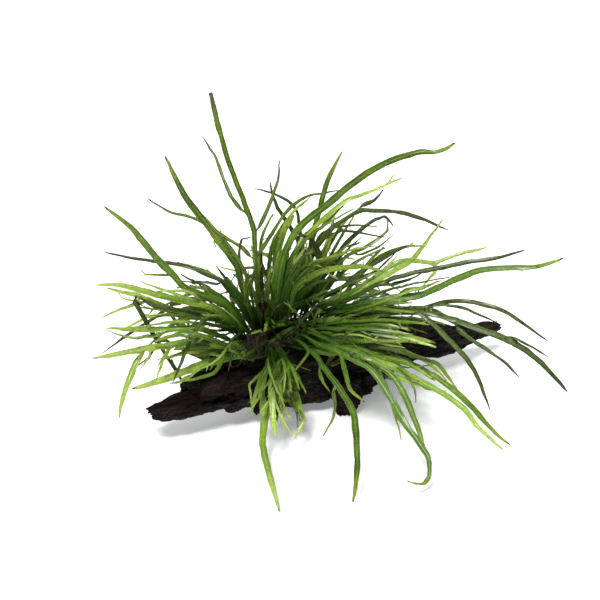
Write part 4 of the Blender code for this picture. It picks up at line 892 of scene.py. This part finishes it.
def carve_wood(made):
    """Carves ridges, cracks, hollows, chips and plates into a piece of wood."""
    places = corners_of(made.data) / MM
    depth = np.zeros(len(places))
    for kind, size in zip(FIBRES, FIBRE_HEIGHTS):
        depth += size * (FIBRE_CREST - FIBRE_SLOPE * np.abs(stretched(places, *kind)))
    depth -= CRACK_DEPTH * (1 - eased(np.abs(stretched(places, *CRACK)), 0.0, CRACK_LEVEL))
    depth += HOLLOW_DEPTH * stretched(places, *HOLLOW)
    depth -= CHIP_DEPTH * eased(stretched(places, *CHIP), *CHIP_LEVELS)
    plates = PLATE_COUNT * (stretched(places, *PLATE) + RAGGED_SHARE * stretched(places, *RAGGED_END))
    whole = np.floor(plates)
    depth += PLATE_STEP * (whole + eased(plates - whole, 0.0, PLATE_LEDGE))
    way_along = (places[:, :2] - WOOD_START) @ wood_along
    depth *= CALM_SHARE + (1 - CALM_SHARE) * eased(wood_length - way_along, *CALM_END)
    places += normals_of(made.data) * depth[:, None]
    places[:, 2] = np.maximum(places[:, 2], 0.0)
    put_corners(made.data, places * MM)
    made.data.shade_smooth()
    return depth


wood_depth = carve_wood(wood)
print("carved from", round(wood_depth.min(), 2), "to", round(wood_depth.max(), 2), "mm")

# %% [markdown]
# The finish of the wood is in the same direction. A mapping node turns the slab's length onto one
# axis and stretches it, and noise on that gives streaks. The group gives pale streaks, broad
# patches for the redder wood, and the fine height of the grain.

# %% Long grain, a group
GRAIN_STRETCH = 22.0
BROAD_SCALE = 70.0
STREAK_FADE = (0.46, 0.62)
BROAD_FADE = (0.42, 0.62)
FINE_SHARE = 0.5

long_grain, grain_in, grain_out = new_group(
    "long grain",
    [("Streak Scale", "Float", 900.0), ("Fine Scale", "Float", 2600.0)],
    [("Streaks", "Float"), ("Patches", "Float"), ("Height", "Float")],
)
slab_place = add(long_grain, "Mapping", vector_type="TEXTURE")
slab_place.inputs["Rotation"].default_value = (0, 0, wood_turn)
slab_place.inputs["Scale"].default_value = (GRAIN_STRETCH, 1.0, 1.0)
join(long_grain, add(long_grain, "TexCoord").outputs["Object"], slab_place.inputs["Vector"])


def grain_noise(scale, detail):
    """Noise in the slab's own direction. The scale is a number or a socket."""
    made = add(long_grain, "TexNoise", Detail=detail, Roughness=0.65)
    join(long_grain, slab_place.outputs["Vector"], made.inputs["Vector"])
    if isinstance(scale, float):
        made.inputs["Scale"].default_value = scale
    else:
        join(long_grain, scale, made.inputs["Scale"])
    return made.outputs["Fac"]


streaks = grain_noise(grain_in["Streak Scale"], detail=4.0)
fine = grain_noise(grain_in["Fine Scale"], detail=3.0)
broad = grain_noise(BROAD_SCALE, detail=2.0)
join(long_grain, fade(long_grain, streaks, *STREAK_FADE), grain_out["Streaks"])
join(long_grain, fade(long_grain, broad, *BROAD_FADE), grain_out["Patches"])
join(long_grain, plus(long_grain, streaks, times(long_grain, fine, FINE_SHARE)), grain_out["Height"])
print("group:", long_grain.name)

# %% Wood finish
WOOD_BLACK = (0.0010, 0.0008, 0.0008)
WOOD_BROWN = (0.0170, 0.0120, 0.0095)
WOOD_RED = (0.019, 0.0060, 0.0042)
WOOD_RED_SHARE = 0.55
STREAK_ROUGHNESS = (0.72, 0.50)
GRAIN_RELIEF = 0.9

bogwood, bog_tree, bog_shader = new_finish("bogwood", roughness=0.62, Specular_IOR_Level=0.12)
bog_grain = place_group(bog_tree, long_grain)
bog_colour = tinted(bog_tree, bog_grain["Streaks"], WOOD_BLACK, WOOD_BROWN)
bog_red = times(bog_tree, bog_grain["Patches"], WOOD_RED_SHARE)
join(bog_tree, tinted(bog_tree, bog_red, bog_colour, WOOD_RED), bog_shader["Base Color"])
bog_rough = fade(bog_tree, bog_grain["Streaks"], 0.0, 1.0, *STREAK_ROUGHNESS)
join(bog_tree, bog_rough, bog_shader["Roughness"])
raise_bumps(bog_tree, bog_shader, bog_grain["Height"], GRAIN_RELIEF)
wood.data.materials.append(bogwood)
wood_node.data.materials[0] = bogwood
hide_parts("driftwood")
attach(wood, "root")
print("finish:", bogwood.name)

# %% [markdown]
# ## The rhizomes
# The creeping stems are thick, dark and rough with brown scales. They are rounded as the rest,
# and roughened with a cell noise that looks like overlapping scales. Young leaves grow out of
# them as one piece. A face belongs to a leaf where the solid is thin behind it, which a ray cast
# inward tells, and those faces get a leaf's finish and numbers.

# %% Rhizome finish
STEM_DARK = (0.0030, 0.0028, 0.0014)
STEM_GREEN = (0.0085, 0.0110, 0.0030)
SCALE_BROWN = (0.018, 0.010, 0.005)

scaly, scaly_tree, scaly_shader = new_finish("scaly rhizome", roughness=0.6, Specular_IOR_Level=0.25)
scaly_look = {"Patch_Scale": 230.0, "Speck_Scale": 700.0, "Speck_Share": 0.9}
scaly_patches = place_group(scaly_tree, growth_patches, **scaly_look)
scaly_colour = tinted(scaly_tree, scaly_patches["Patches"], STEM_DARK, STEM_GREEN)
scaly_colour = tinted(scaly_tree, scaly_patches["Specks"], scaly_colour, SCALE_BROWN)
join(scaly_tree, scaly_colour, scaly_shader["Base Color"])
scale_cells = add(scaly_tree, "TexVoronoi", Scale=620.0)
join(scaly_tree, add(scaly_tree, "TexCoord").outputs["Object"], scale_cells.inputs["Vector"])
raise_bumps(scaly_tree, scaly_shader, scale_cells.outputs["Distance"], distance=0.4, strength=0.8)
print("finish:", scaly.name)

# %% Stem or leaf
LEAF_THICKNESS = 1.7
RAY_START = 0.02


def is_leaf(face, tree):
    """True where the solid is thin behind a face."""
    inward = -face.normal
    start = face.calc_center_median() + inward * RAY_START * MM
    distance = tree.ray_cast(start, inward)[3]
    return distance is not None and distance < LEAF_THICKNESS * MM


print("a leaf is less than", LEAF_THICKNESS, "mm thick")

# %% Rounded rhizomes
STEM_LEVELS = 3
SCALE_RISE = 0.45
SCALE_SIZE = 1.6
SCALE_MIDDLE = 0.35
# Corners that are no farther than this from the stem, in millimetres, belong to it.
ON_STEM = 0.02
STEM_TONE = 0.35
STEM_TONE_STEP = 0.2


def dress_rhizome(node, number):
    """The rough stem, with its young leaves, that stands for a rhizome's solid."""
    cage = cage_of(node)
    tree = BVHTree.FromBMesh(cage)
    for face in cage.faces:
        face.material_index = int(is_leaf(face, tree))
    on_stem = {v.index for v in cage.verts if any(f.material_index == 0 for f in v.link_faces)}
    leaf_rims = crease_rims(cage) - on_stem
    tone = STEM_TONE + STEM_TONE_STEP * number
    measure_leaf(cage, leaf_rims, tone, DRY_ENDS["leaf_green"], on_stem)
    made = as_object(node.name.replace("rhizome", "creeping_stem"), cage)
    stem = subdivided(made, STEM_LEVELS, ROUGH_FIT_ROUNDS)
    places = corners_of(stem.data)
    rise = np.array([noise.voronoi(Vector(p) / (SCALE_SIZE * MM))[0][0] for p in places])
    rise = (rise - SCALE_MIDDLE) * SCALE_RISE * (numbers_of(stem.data, "from_base") < ON_STEM)
    places += normals_of(stem.data) * (rise * MM)[:, None]
    put_corners(stem.data, places)
    stem.data.shade_smooth()
    stem.data.materials.append(scaly)
    stem.data.materials.append(leaf_finishes["leaf_green"])
    node.data.materials[0] = scaly
    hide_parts(node.name)
    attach(stem, "root")
    return stem


def skin_of(stem):
    """The corners of a rhizome that aren't on its leaves."""
    from_stem = numbers_of(stem.data, "from_base")
    return [corner for corner, gap in zip(stem.data.vertices, from_stem) if gap < ON_STEM]


stems = [dress_rhizome(node, number) for number, node in enumerate(rhizome_nodes)]
stem_skin = [corner for stem in stems for corner in skin_of(stem)]
stem_places = [np.array(v.co) / MM for v in stem_skin]
stem_normals = [np.array(v.normal) for v in stem_skin]
print("rhizomes:", [s.name for s in stems], "with", len(stem_skin), "places to grow from")

# %% [markdown]
# ## The dense crown
# A crown of java fern is packed: among the long fronds grow many shorter leaves of all ages, too
# small and too many to be solids. They could be copies of one leaf, but copies show. Instead each
# has a line of its own, and is made as the same kind of cage, four corners to a section, so the
# same rounding and rippling serves.

# %% Lines
LEAST_LENGTH = 1e-9


def unit(vector):
    return vector / max(np.linalg.norm(vector), LEAST_LENGTH)


def length_along(line):
    """How far each place of a line is along it."""
    return np.concatenate([[0], np.cumsum(np.linalg.norm(np.diff(line, axis=0), axis=1))])


def read_at(line, along, where):
    """The places of a line at one or more distances along it."""
    return np.stack([np.interp(where, along, line[:, k]) for k in range(3)], axis=-1)


def evened(line, rounds):
    """The line with its zigzag taken out."""
    line = line.copy()
    for _ in range(rounds):
        line[1:-1] = 0.5 * line[1:-1] + 0.25 * (line[:-2] + line[2:])
    return line


print("longest frond:", round(max(length_along(spine)[-1] for spine in spines)), "mm along its line")

# %% Sections of a small leaf
UPWARD_LEAN = 0.55
LEAF_FACING = toward + (0.0, 0.0, UPWARD_LEAN)
SMALL_CREST = 0.24
SMALL_KEEL = 0.30
LEAST_THICKNESS = 0.35
THICKNESS_BY_HALF = 0.6
ON_RIB = (0.0, 1.0, 0.0, 1.0)


def add_small_leaf(cage, line, halves, facing, own, grown=0.0):
    """Adds a closed four-cornered leaf along a line to the cage. own is its tone and its dry end."""
    numbers = [cage.verts.layers.float[n] for n in LEAF_NUMBERS]
    crease = cage.edges.layers.float["crease_edge"]
    along = length_along(line)
    ahead = np.gradient(line, axis=0)
    rings = []
    for place, way, half, reached in zip(line, ahead, halves, along):
        right = unit(np.cross(way, facing))
        up = unit(np.cross(right, way))
        thick = min(1.0, LEAST_THICKNESS + THICKNESS_BY_HALF * half)
        corners = (-right * half, up * SMALL_CREST * thick, right * half, -up * SMALL_KEEL * thick)
        ring = []
        for corner, on_rib in zip(corners, ON_RIB):
            vertex = cage.verts.new((place + corner) * MM)
            for layer, value in zip(numbers, (on_rib, reached + grown, along[-1] - reached, *own)):
                vertex[layer] = value
            ring.append(vertex)
        rings.append(ring)
    cage.faces.new(rings[0][::-1])
    cage.faces.new(rings[-1])
    for first, second in zip(rings, rings[1:]):
        for k in range(4):
            cage.faces.new((first[k], second[k], second[(k + 1) % 4], first[(k + 1) % 4]))
        for k in (0, 2):
            cage.edges.get((first[k], second[k]))[crease] = 1.0


print("small leaves face", np.round(unit(LEAF_FACING), 2))

# %% [markdown]
# A small leaf mustn't cut into the wood or the ground, and mustn't hide what is bare on the real
# plant: the left end of the wood, its front beside the tuft, and the dark hollow under the crown.
# So a line is pushed off the wood, and one that would be seen over a bare part is left out.

# %% Keep off the wood
WOOD_ROOM = 1.4
GROUND_ROOM = 1.8

wood_faces = [tuple(p.vertices) for p in wood.data.polygons]
wood_tree = BVHTree.FromPolygons([v.co / MM for v in wood.data.vertices], wood_faces)


def off_the_wood(line):
    """The line with its places moved out of the wood and above the ground."""
    for place in line:
        hit, normal, _, gap = wood_tree.find_nearest(Vector(place))
        if (Vector(place) - hit).dot(normal) < 0 or gap < WOOD_ROOM:
            place[:] = np.array(hit) + np.array(normal) * WOOD_ROOM
        place[2] = max(place[2], GROUND_ROOM)
    return line


print("lines stay", WOOD_ROOM, "mm off the wood and", GROUND_ROOM, "mm off the ground")

# %% Leave bare wood in view
# The wood is bare to the left of a place across and below a place up, and below its front edge.
BARE_LEFT = (-54.0, 23.0)
BARE_FRONT = 14.0
# Between these places across, leaves may hang in front of the wood, down to the foot.
TUFT_SIDES = (-54.0, -25.0)
TUFT_FOOT = -12.0
# The hollow lies between these places across and up. A leaf may start in it.
HOLLOW_ACROSS = (-34.0, -10.0)
HOLLOW_UP = (29.0, 40.0)
HOLLOW_START = 3


def seen_at(place):
    """How far across and up a place is seen, as in the layout."""
    seen = eye + (place - eye) * (eye @ toward) / ((eye - place) @ toward)
    return seen[0], seen @ upward


def between(value, ends):
    return ends[0] < value < ends[1]


def hides_wood(line):
    """True for a line that would be seen in front of the bare parts of the wood."""
    for across, up in map(seen_at, line[HOLLOW_START:]):
        if between(across, HOLLOW_ACROSS) and between(up, HOLLOW_UP):
            return True
    for across, up in map(seen_at, line):
        if across < BARE_LEFT[0] and up < BARE_LEFT[1]:
            return True
        if up < TUFT_FOOT or (up < BARE_FRONT and not between(across, TUFT_SIDES)):
            return True
    return False


print("fronds that hide bare wood:", sum(hides_wood(spine) for spine in spines), "of", len(spines))

# %% [markdown]
# The lines are of three kinds. Most follow the line of a long frond for a part of its length and
# drift away from it to a side. Shoots rise straight from the rhizomes and sag over, which hides
# the stems as on the real plant. The tuft hangs down in front of the wood. A seeded random number
# generator makes each line different, and all of them the same each time.

# %% Lines beside the fronds
SMALL_LENGTHS = (20.0, 94.0)
SMALL_STATIONS = 12
MOST_FOLLOWED = 0.8
SPINE_ROUNDS = 2
MOST_ASIDE = 1.8
MOST_DRIFT = 0.26
MOST_BOW = 3.0


def either_way(luck, most):
    return luck.uniform(-most, most)


def line_beside(spine, luck):
    """A line that follows a frond for a part of its length and drifts away from it."""
    along = length_along(spine)
    length = min(luck.uniform(*SMALL_LENGTHS), MOST_FOLLOWED * along[-1])
    at = np.linspace(0, length, SMALL_STATIONS)
    line = evened(read_at(spine, along, at), SPINE_ROUNDS)
    ahead = unit(line[-1] - line[0])
    beside = unit(np.cross(ahead, LEAF_FACING))
    over = np.cross(beside, ahead)
    bow = np.sin(math.pi * at / length)
    drift = either_way(luck, MOST_ASIDE) + either_way(luck, MOST_DRIFT) * at
    drift += either_way(luck, MOST_BOW) * bow
    lift = either_way(luck, MOST_DRIFT) * at + either_way(luck, MOST_BOW) * bow
    return line + drift[:, None] * beside + lift[:, None] * over


print("lines beside fronds:", SMALL_STATIONS, "places, up to", SMALL_LENGTHS[1], "mm long")

# %% Shoots and tuft
SHOOT_LENGTHS = (16.0, 62.0)
SHOOT_SAG = (0.15, 0.6)
SHOOT_OUTWARD = 0.5
SHOOT_SPREAD = (1.5, 0.9, 0.5)
SHOOT_UPWARD = (0.0, -0.1, 0.65)
# Where leaves of the tuft start and end: across, up and back, each from and to.
TUFT_TOP = ((-50, -33), (34, 39), (-14, -8))
TUFT_END = ((-58, -22), (-15, 12), (-50, -42))
TUFT_BEND = 0.5
TUFT_SWAY = ((-5, 5), (-1, 6), (-14, -4))
TUFT_ROUNDS = 3


def any_way(luck):
    return np.array([either_way(luck, 1) for _ in range(3)])


def any_place(luck, ranges):
    return [luck.uniform(*pair) for pair in ranges]


def evenly_spaced(line, count, rounds):
    """A line of a few places with its bends rounded and its places evenly spaced."""
    along = length_along(line)
    return evened(read_at(line, along, np.linspace(0, along[-1], count)), rounds)


def line_from_stem(luck):
    """A line that rises from the rhizome's skin and sags over to a side."""
    number = luck.randrange(len(stem_places))
    length = luck.uniform(*SHOOT_LENGTHS)
    way = unit(SHOOT_OUTWARD * stem_normals[number] + any_way(luck) * SHOOT_SPREAD + SHOOT_UPWARD)
    share = np.linspace(0, 1, SMALL_STATIONS)[:, None]
    sag = luck.uniform(*SHOOT_SAG) * length
    return stem_places[number] + way * length * share - np.array([0.0, 0.0, sag]) * share ** 2


def line_in_tuft(luck):
    """A line that hangs in front of the wood, as it is seen."""
    top, foot = (np.array(any_place(luck, ranges)) for ranges in (TUFT_TOP, TUFT_END))
    middle = TUFT_BEND * top + (1 - TUFT_BEND) * foot + any_place(luck, TUFT_SWAY)
    bent = np.array([sighted(*place) for place in (top, middle, foot)])
    return evenly_spaced(bent, SMALL_STATIONS, TUFT_ROUNDS)


print("shoots start at one of", len(stem_places), "places")

# %% [markdown]
# A leaf is widest before its middle and narrows to a rounded tip. Most have a few small lobes,
# which leave the midrib to the left and right in turn and bend back to the leaf's own direction.
# Each lobe is one more narrow leaf that starts inside the first.

# %% The blade of a small leaf
SMALL_HALVES = (0.75, 1.7)
SHORT_LEAF_WIDTH = 0.6
FOOT_WIDTH = 0.28
WIDENING = (0.04, 0.48)
NARROWING = (0.45, 1.08)
NARROWED = 0.97
LEAST_HALF = 0.16


def blade_halves(share, most):
    """Half the width of a leaf at each share of its length."""
    widened = FOOT_WIDTH + (1 - FOOT_WIDTH) * eased(share, *WIDENING)
    return most * widened * np.sqrt(1 - (NARROWED * eased(share, *NARROWING)) ** 2)


print("half widths of a leaf:", np.round(blade_halves(np.linspace(0, 1, 5), SMALL_HALVES[1]), 2), "mm")

# %% A small leaf with its lobes
ANY_FACING = (0.5, 0.4, 0.0)
LOBE_STATIONS = 6
FIRST_LOBE = (0.35, 0.6)
LAST_LOBE = 0.92
LOBE_STEP = (0.14, 0.28)
LOBE_REACH = (5, 17)
LOBE_REACH_END = 1.15
LOBE_BEND = (0.35, 0.9)
LOBE_PULL = 0.3
LOBE_FOOT = 0.3
LOBE_RISE = 0.15
LOBE_TIP = 0.25
LOBE_WIDTH = (0.35, 0.6)
LEAST_LOBE_HALF = 0.14


def grow_leaf(cage, line, dry_end, luck):
    """One small leaf along a line, with its lobes."""
    line = off_the_wood(line)
    facing = unit(LEAF_FACING + any_way(luck) * ANY_FACING)
    along = length_along(line)
    length = along[-1]
    fullness = SHORT_LEAF_WIDTH + (1 - SHORT_LEAF_WIDTH) * min(1.0, length / SMALL_LENGTHS[1])
    most = luck.uniform(*SMALL_HALVES) * fullness
    own = tone_at(luck.random(), line[:, 0].mean()), dry_end
    halves = blade_halves(along / length, most)
    add_small_leaf(cage, line, np.maximum(halves, LEAST_HALF), facing, own)
    side = luck.choice((-1, 1))
    for start in np.arange(luck.uniform(*FIRST_LOBE), LAST_LOBE, luck.uniform(*LOBE_STEP)):
        reach = luck.uniform(*LOBE_REACH) * (LOBE_REACH_END - start)
        root = read_at(line, along, start * length)
        way = unit(line[-1] - root)
        out = unit(np.cross(way, facing)) * side
        bend = luck.uniform(*LOBE_BEND)
        steps = np.linspace(0, reach, LOBE_STATIONS)[:, None]
        lobe = root + way * steps * (1 - LOBE_PULL * bend) + out * (bend * steps + LOBE_FOOT * most)
        lobe += unit(facing) * either_way(luck, LOBE_RISE) * steps
        thin = np.linspace(1.0, LOBE_TIP, LOBE_STATIONS) * luck.uniform(*LOBE_WIDTH) * most
        thin = np.maximum(thin, LEAST_LOBE_HALF)
        add_small_leaf(cage, off_the_wood(lobe), thin, facing, own, start * length)
        side = -side


print("lobes reach up to", round(LOBE_REACH[1] * (LOBE_REACH_END - FIRST_LOBE[0]), 1), "mm")

# %% [markdown]
# All small leaves of one age share a finish, so they are one mesh: three large meshes are quicker
# to draw and easier to handle than some 250 small ones. Each age has its own share of the lines.
# Pale young leaves mostly follow fronds, dark old ones are more often shoots in the shaded middle,
# and green ones fill the tuft.

# %% Grow the small leaves
LEAVES_PER_FROND = 3
SHOOT_COUNT = 95
SMALL_LEVELS = 1
RIPPLES_FROM = 100
# Each age's share of the chances beside the fronds, its share of the shoots, and its count in the tuft.
AGES = {"leaf_pale": (0.18, 0.03, 1), "leaf_green": (0.80, 0.50, 11), "leaf_dark": (0.17, 0.30, 1)}


def lines_of_age(age, luck, tuft_luck):
    """The lines of all small leaves of one age."""
    beside_share, shoot_share, tuft_count = AGES[age]
    chances = [spine for spine in spines for _ in range(LEAVES_PER_FROND)]
    lines = [line_beside(spine, luck) for spine in chances if luck.random() < beside_share]
    lines += [line_from_stem(luck) for _ in range(round(SHOOT_COUNT * shoot_share))]
    lines = [line for line in lines if not hides_wood(line)]
    return lines + [line_in_tuft(tuft_luck) for _ in range(tuft_count)]


def empty_cage():
    """A cage that can carry the numbers and sharp edges of leaves."""
    cage = bmesh.new()
    for name in LEAF_NUMBERS:
        cage.verts.layers.float.new(name)
    cage.edges.layers.float.new("crease_edge")
    return cage


luck, tuft_luck = random.Random(7), random.Random(3)
for age in AGES:
    crowd = empty_cage()
    lines = lines_of_age(age, luck, tuft_luck)
    for line in lines:
        grow_leaf(crowd, line, DRY_ENDS[age], luck)
    crowd.normal_update()
    made = as_object(age.replace("leaf", "small_leaves"), crowd)
    small = subdivided(made, SMALL_LEVELS, ROUGH_FIT_ROUNDS)
    shape_blade(small, RIPPLES_FROM + len(age))
    small.data.materials.append(leaf_finishes[age])
    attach(small, "root")
    print(small.name, len(lines), "leaves,", 2 * len(small.data.polygons), "triangles")

# %% [markdown]
# ## Roots
# The rhizomes hold on to the wood with fine brown roots that feel their way over its surface.
# Each root is a walk: a short step on, a little to a random side, then back onto the wood. A thin
# tube is laid along each walk, and all of them are one mesh.

# %% Tubes along lines
TUBE_SIDES = 4
TUBE_SLANT = (0.31, 0.52, 0.79)


def add_tube(cage, line, radii, sides=TUBE_SIDES):
    """Adds a closed tube that follows a line."""
    ahead = np.gradient(np.array(line), axis=0)
    side = unit(np.cross(ahead[0], TUBE_SLANT))
    turns = [math.tau * k / sides for k in range(sides)]
    rings = []
    for place, way, radius in zip(line, ahead, radii):
        way = unit(way)
        side = unit(side - (side @ way) * way)
        up = np.cross(way, side)
        ring = [place + radius * (side * math.cos(t) + up * math.sin(t)) for t in turns]
        rings.append([cage.verts.new(corner * MM) for corner in ring])
    cage.faces.new(rings[0][::-1])
    cage.faces.new(rings[-1])
    for first, second in zip(rings, rings[1:]):
        for k in range(sides):
            cage.faces.new((first[k], first[(k + 1) % sides], second[(k + 1) % sides], second[k]))


def finish_tubes(name, cage, finish):
    """Makes the tubes an object that rides on the plant."""
    cage.normal_update()
    made = as_object(name, cage)
    made.data.shade_smooth()
    made.data.materials.append(finish)
    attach(made, "root")
    print(made.name, 2 * len(made.data.polygons), "triangles")


print("tubes have", TUBE_SIDES, "sides unless more are asked for")

# %% Root finish
ROOT_DARK = (0.0018, 0.0010, 0.0007)
ROOT_BROWN = (0.013, 0.0055, 0.0035)

hair_root, root_tree, root_shader = new_finish("hair root", roughness=0.6, Specular_IOR_Level=0.1)
root_patches = place_group(root_tree, growth_patches, Patch_Scale=300.0, Speck_Share=0.2)
root_colour = tinted(root_tree, root_patches["Patches"], ROOT_DARK, ROOT_BROWN)
join(root_tree, root_colour, root_shader["Base Color"])
root_grain = add(root_tree, "TexNoise", Scale=2600.0, Detail=2.0)
raise_bumps(root_tree, root_shader, root_grain.outputs["Fac"], distance=0.05)
print("finish:", hair_root.name)

# %% Walk the roots over the wood
ROOT_COUNT = 320
ROOT_LENGTHS = (5.0, 26.0)
ROOT_STEP = 1.6
ROOT_RADIUS = 0.18
ROOT_TIP = 0.4
ROOT_ROOM = 0.12
ROOT_GROUND = 0.3
ROOT_GRIP = 7.0
# A root is pulled onto the wood by this share of the gap, and by more with each step.
ROOT_PULL = 0.35
ROOT_PULL_STEP = 0.1
ROOT_WANDER = 0.55
ROOT_SINK = (0.0, 0.0, -0.22)


def root_walk(start, way, length, luck):
    """The places of a root that feels its way over the wood."""
    line = [start]
    for _ in range(int(length / ROOT_STEP)):
        way = unit(way + ROOT_WANDER * any_way(luck) + ROOT_SINK)
        place = line[-1] + way * ROOT_STEP
        hit, normal, _, gap = wood_tree.find_nearest(Vector(place))
        if gap < ROOT_GRIP or (Vector(place) - hit).dot(normal) < 0:
            pull = min(1.0, ROOT_PULL + ROOT_PULL_STEP * len(line))
            place += pull * (np.array(hit) + np.array(normal) * ROOT_ROOM - place)
        place[2] = max(place[2], ROOT_GROUND)
        line.append(place)
    return line


root_luck = random.Random(21)
root_cage = bmesh.new()
for _ in range(ROOT_COUNT):
    number = root_luck.randrange(len(stem_places))
    root_length = root_luck.uniform(*ROOT_LENGTHS)
    root_line = root_walk(stem_places[number], stem_normals[number], root_length, root_luck)
    add_tube(root_cage, root_line, np.linspace(ROOT_RADIUS, ROOT_TIP * ROOT_RADIUS, len(root_line)))
finish_tubes("hair_roots", root_cage, hair_root)

# %% [markdown]
# ## A coiled bud
# One young frond is still a dark, shiny coil, about five millimetres across, on a short stalk in
# the crown. A ball would look the same from afar, but not close by. So the coil is a tube along a
# shrinking spiral, which goes on from the line of its stalk.

# %% Coiled bud
COIL_PLACE = (-49.5, 62.5, -8.0)
COIL_RADIUS = 2.5
COIL_TURNS = 1.9
COIL_STEPS = 34
COIL_START = -1.57
COIL_SHRINK = 0.8
COIL_RISE = 0.05
COIL_THICKNESS = 1.15
BUD_FOOT = (-50.5, 45, 2)
BUD_STALK_STEPS = 7
BUD_STALK_REACH = 0.94
BUD_STALK_BOW = 1.2
# The tube's radius at some of its places, counted from the foot, and at its end.
BUD_PLACES = (0, 6, 12)
BUD_RADII = (0.6, 0.55, COIL_THICKNESS, 0.55)
BUD_SIDES = 10
BUD_BLACK = (0.0010, 0.0006, 0.0005)
BUD_BROWN = (0.0070, 0.0020, 0.0014)

bud_gloss = {"Specular_IOR_Level": 0.02, "Coat_Weight": 0.14, "Coat_Roughness": 0.05}
shiny_dark, bud_tree, bud_shader = new_finish("coiled bud", roughness=0.25, **bud_gloss)
bud_patches = place_group(bud_tree, growth_patches, Patch_Scale=500.0)
bud_colour = tinted(bud_tree, bud_patches["Patches"], BUD_BLACK, BUD_BROWN)
join(bud_tree, bud_colour, bud_shader["Base Color"])
raise_bumps(bud_tree, bud_shader, bud_patches["Patches"], distance=0.15, strength=0.5)

coil_middle = sighted(*COIL_PLACE)
rightward = np.array([1.0, 0.0, 0.0])
coil = []
for turn in np.linspace(0, COIL_TURNS * math.tau, COIL_STEPS):
    shrunk = COIL_RADIUS * (1 - COIL_SHRINK * turn / (COIL_TURNS * math.tau))
    around = rightward * math.cos(turn + COIL_START) + upward * math.sin(turn + COIL_START)
    coil.append(coil_middle + shrunk * around + toward * COIL_RISE * turn)
bud_foot = sighted(*BUD_FOOT)
stalk = []
for share in np.linspace(0, BUD_STALK_REACH, BUD_STALK_STEPS):
    bow = rightward * BUD_STALK_BOW * math.sin(math.pi * share)
    stalk.append(bud_foot + share * (coil[0] - bud_foot) + bow)
bud_line = evened(np.array(stalk + coil), rounds=1)
bud_radii = np.interp(np.arange(len(bud_line)), (*BUD_PLACES, len(bud_line)), BUD_RADII)
bud_cage = bmesh.new()
add_tube(bud_cage, bud_line, bud_radii, BUD_SIDES)
finish_tubes("coiled_bud", bud_cage, shiny_dark)

# %% [markdown]
# ## Wiry loops
# Thin wiry loops of dried stalk arch over the bud, and a tangle of them hangs down to the wood at
# its left. The loops can be told apart, so each is drawn through a few places as it is seen. The
# tangle can't, so its stalks fall where chance puts them.

# %% Wiry loops
LOOPS = [
    [(-59, 64, -9), (-58, 78, -10), (-52, 82.5, -10), (-47.5, 75, -10), (-46, 64, -9)],
    [(-50, 48, -2), (-51, 66, -5), (-48, 77, -4), (-45, 81, -3)],
    [(-52, 52, 8), (-54.5, 68, 6), (-57, 79, 8), (-61, 80.5, 10), (-62.5, 74, 12)],
    [(-47, 50, 10), (-45.5, 63, 8), (-48.5, 70, 8), (-52.5, 69, 9)],
    [(-55, 48, 2), (-58.5, 60, -2), (-62, 66, -4), (-66, 65, -5)],
    [(-44, 52, 12), (-42.5, 66, 10), (-44.5, 76, 12), (-48, 79, 14)],
    [(-30, 54, 22), (-27.5, 68, 20), (-23, 76, 18), (-17, 77, 16)],
]
LOOP_STATIONS = 22
LOOP_ROUNDS = 8
LOOP_SIDES = 6
TANGLE_COUNT = 15
TANGLE_TOP = ((-60, -46), (40, 48), (-22, -6))
TANGLE_FOOT = ((-68, -50), (25, 34), (-34, -16))
TANGLE_SWAY = ((-4, 4), (-3, 3), (-6, 2))
STALK_RADII = (0.32, 0.18)
STALK_DARK = (0.004, 0.0021, 0.0014)
STALK_BROWN = (0.028, 0.010, 0.0055)
tangle_luck = random.Random(5)


def dry_stalk():
    """A thin dry stalk from the crown down to the wood, as it is seen."""
    top, foot = (np.array(any_place(tangle_luck, ranges)) for ranges in (TANGLE_TOP, TANGLE_FOOT))
    middle = 0.5 * (top + foot) + any_place(tangle_luck, TANGLE_SWAY)
    return [tuple(top), tuple(middle), tuple(foot)]


dry_brown, dry_tree, dry_shader = new_finish("dry stalk", roughness=0.5, Specular_IOR_Level=0.3)
dry_patches = place_group(dry_tree, growth_patches, Patch_Scale=200.0)
dry_colour = tinted(dry_tree, dry_patches["Patches"], STALK_DARK, STALK_BROWN)
join(dry_tree, dry_colour, dry_shader["Base Color"])

loop_cage = bmesh.new()
for places in LOOPS + [dry_stalk() for _ in range(TANGLE_COUNT)]:
    bent = np.array([sighted(*place) for place in places])
    loop_line = evenly_spaced(bent, LOOP_STATIONS, LOOP_ROUNDS)
    add_tube(loop_cage, loop_line, np.linspace(*STALK_RADII, len(loop_line)), LOOP_SIDES)
finish_tubes("wiry_loops", loop_cage, dry_brown)
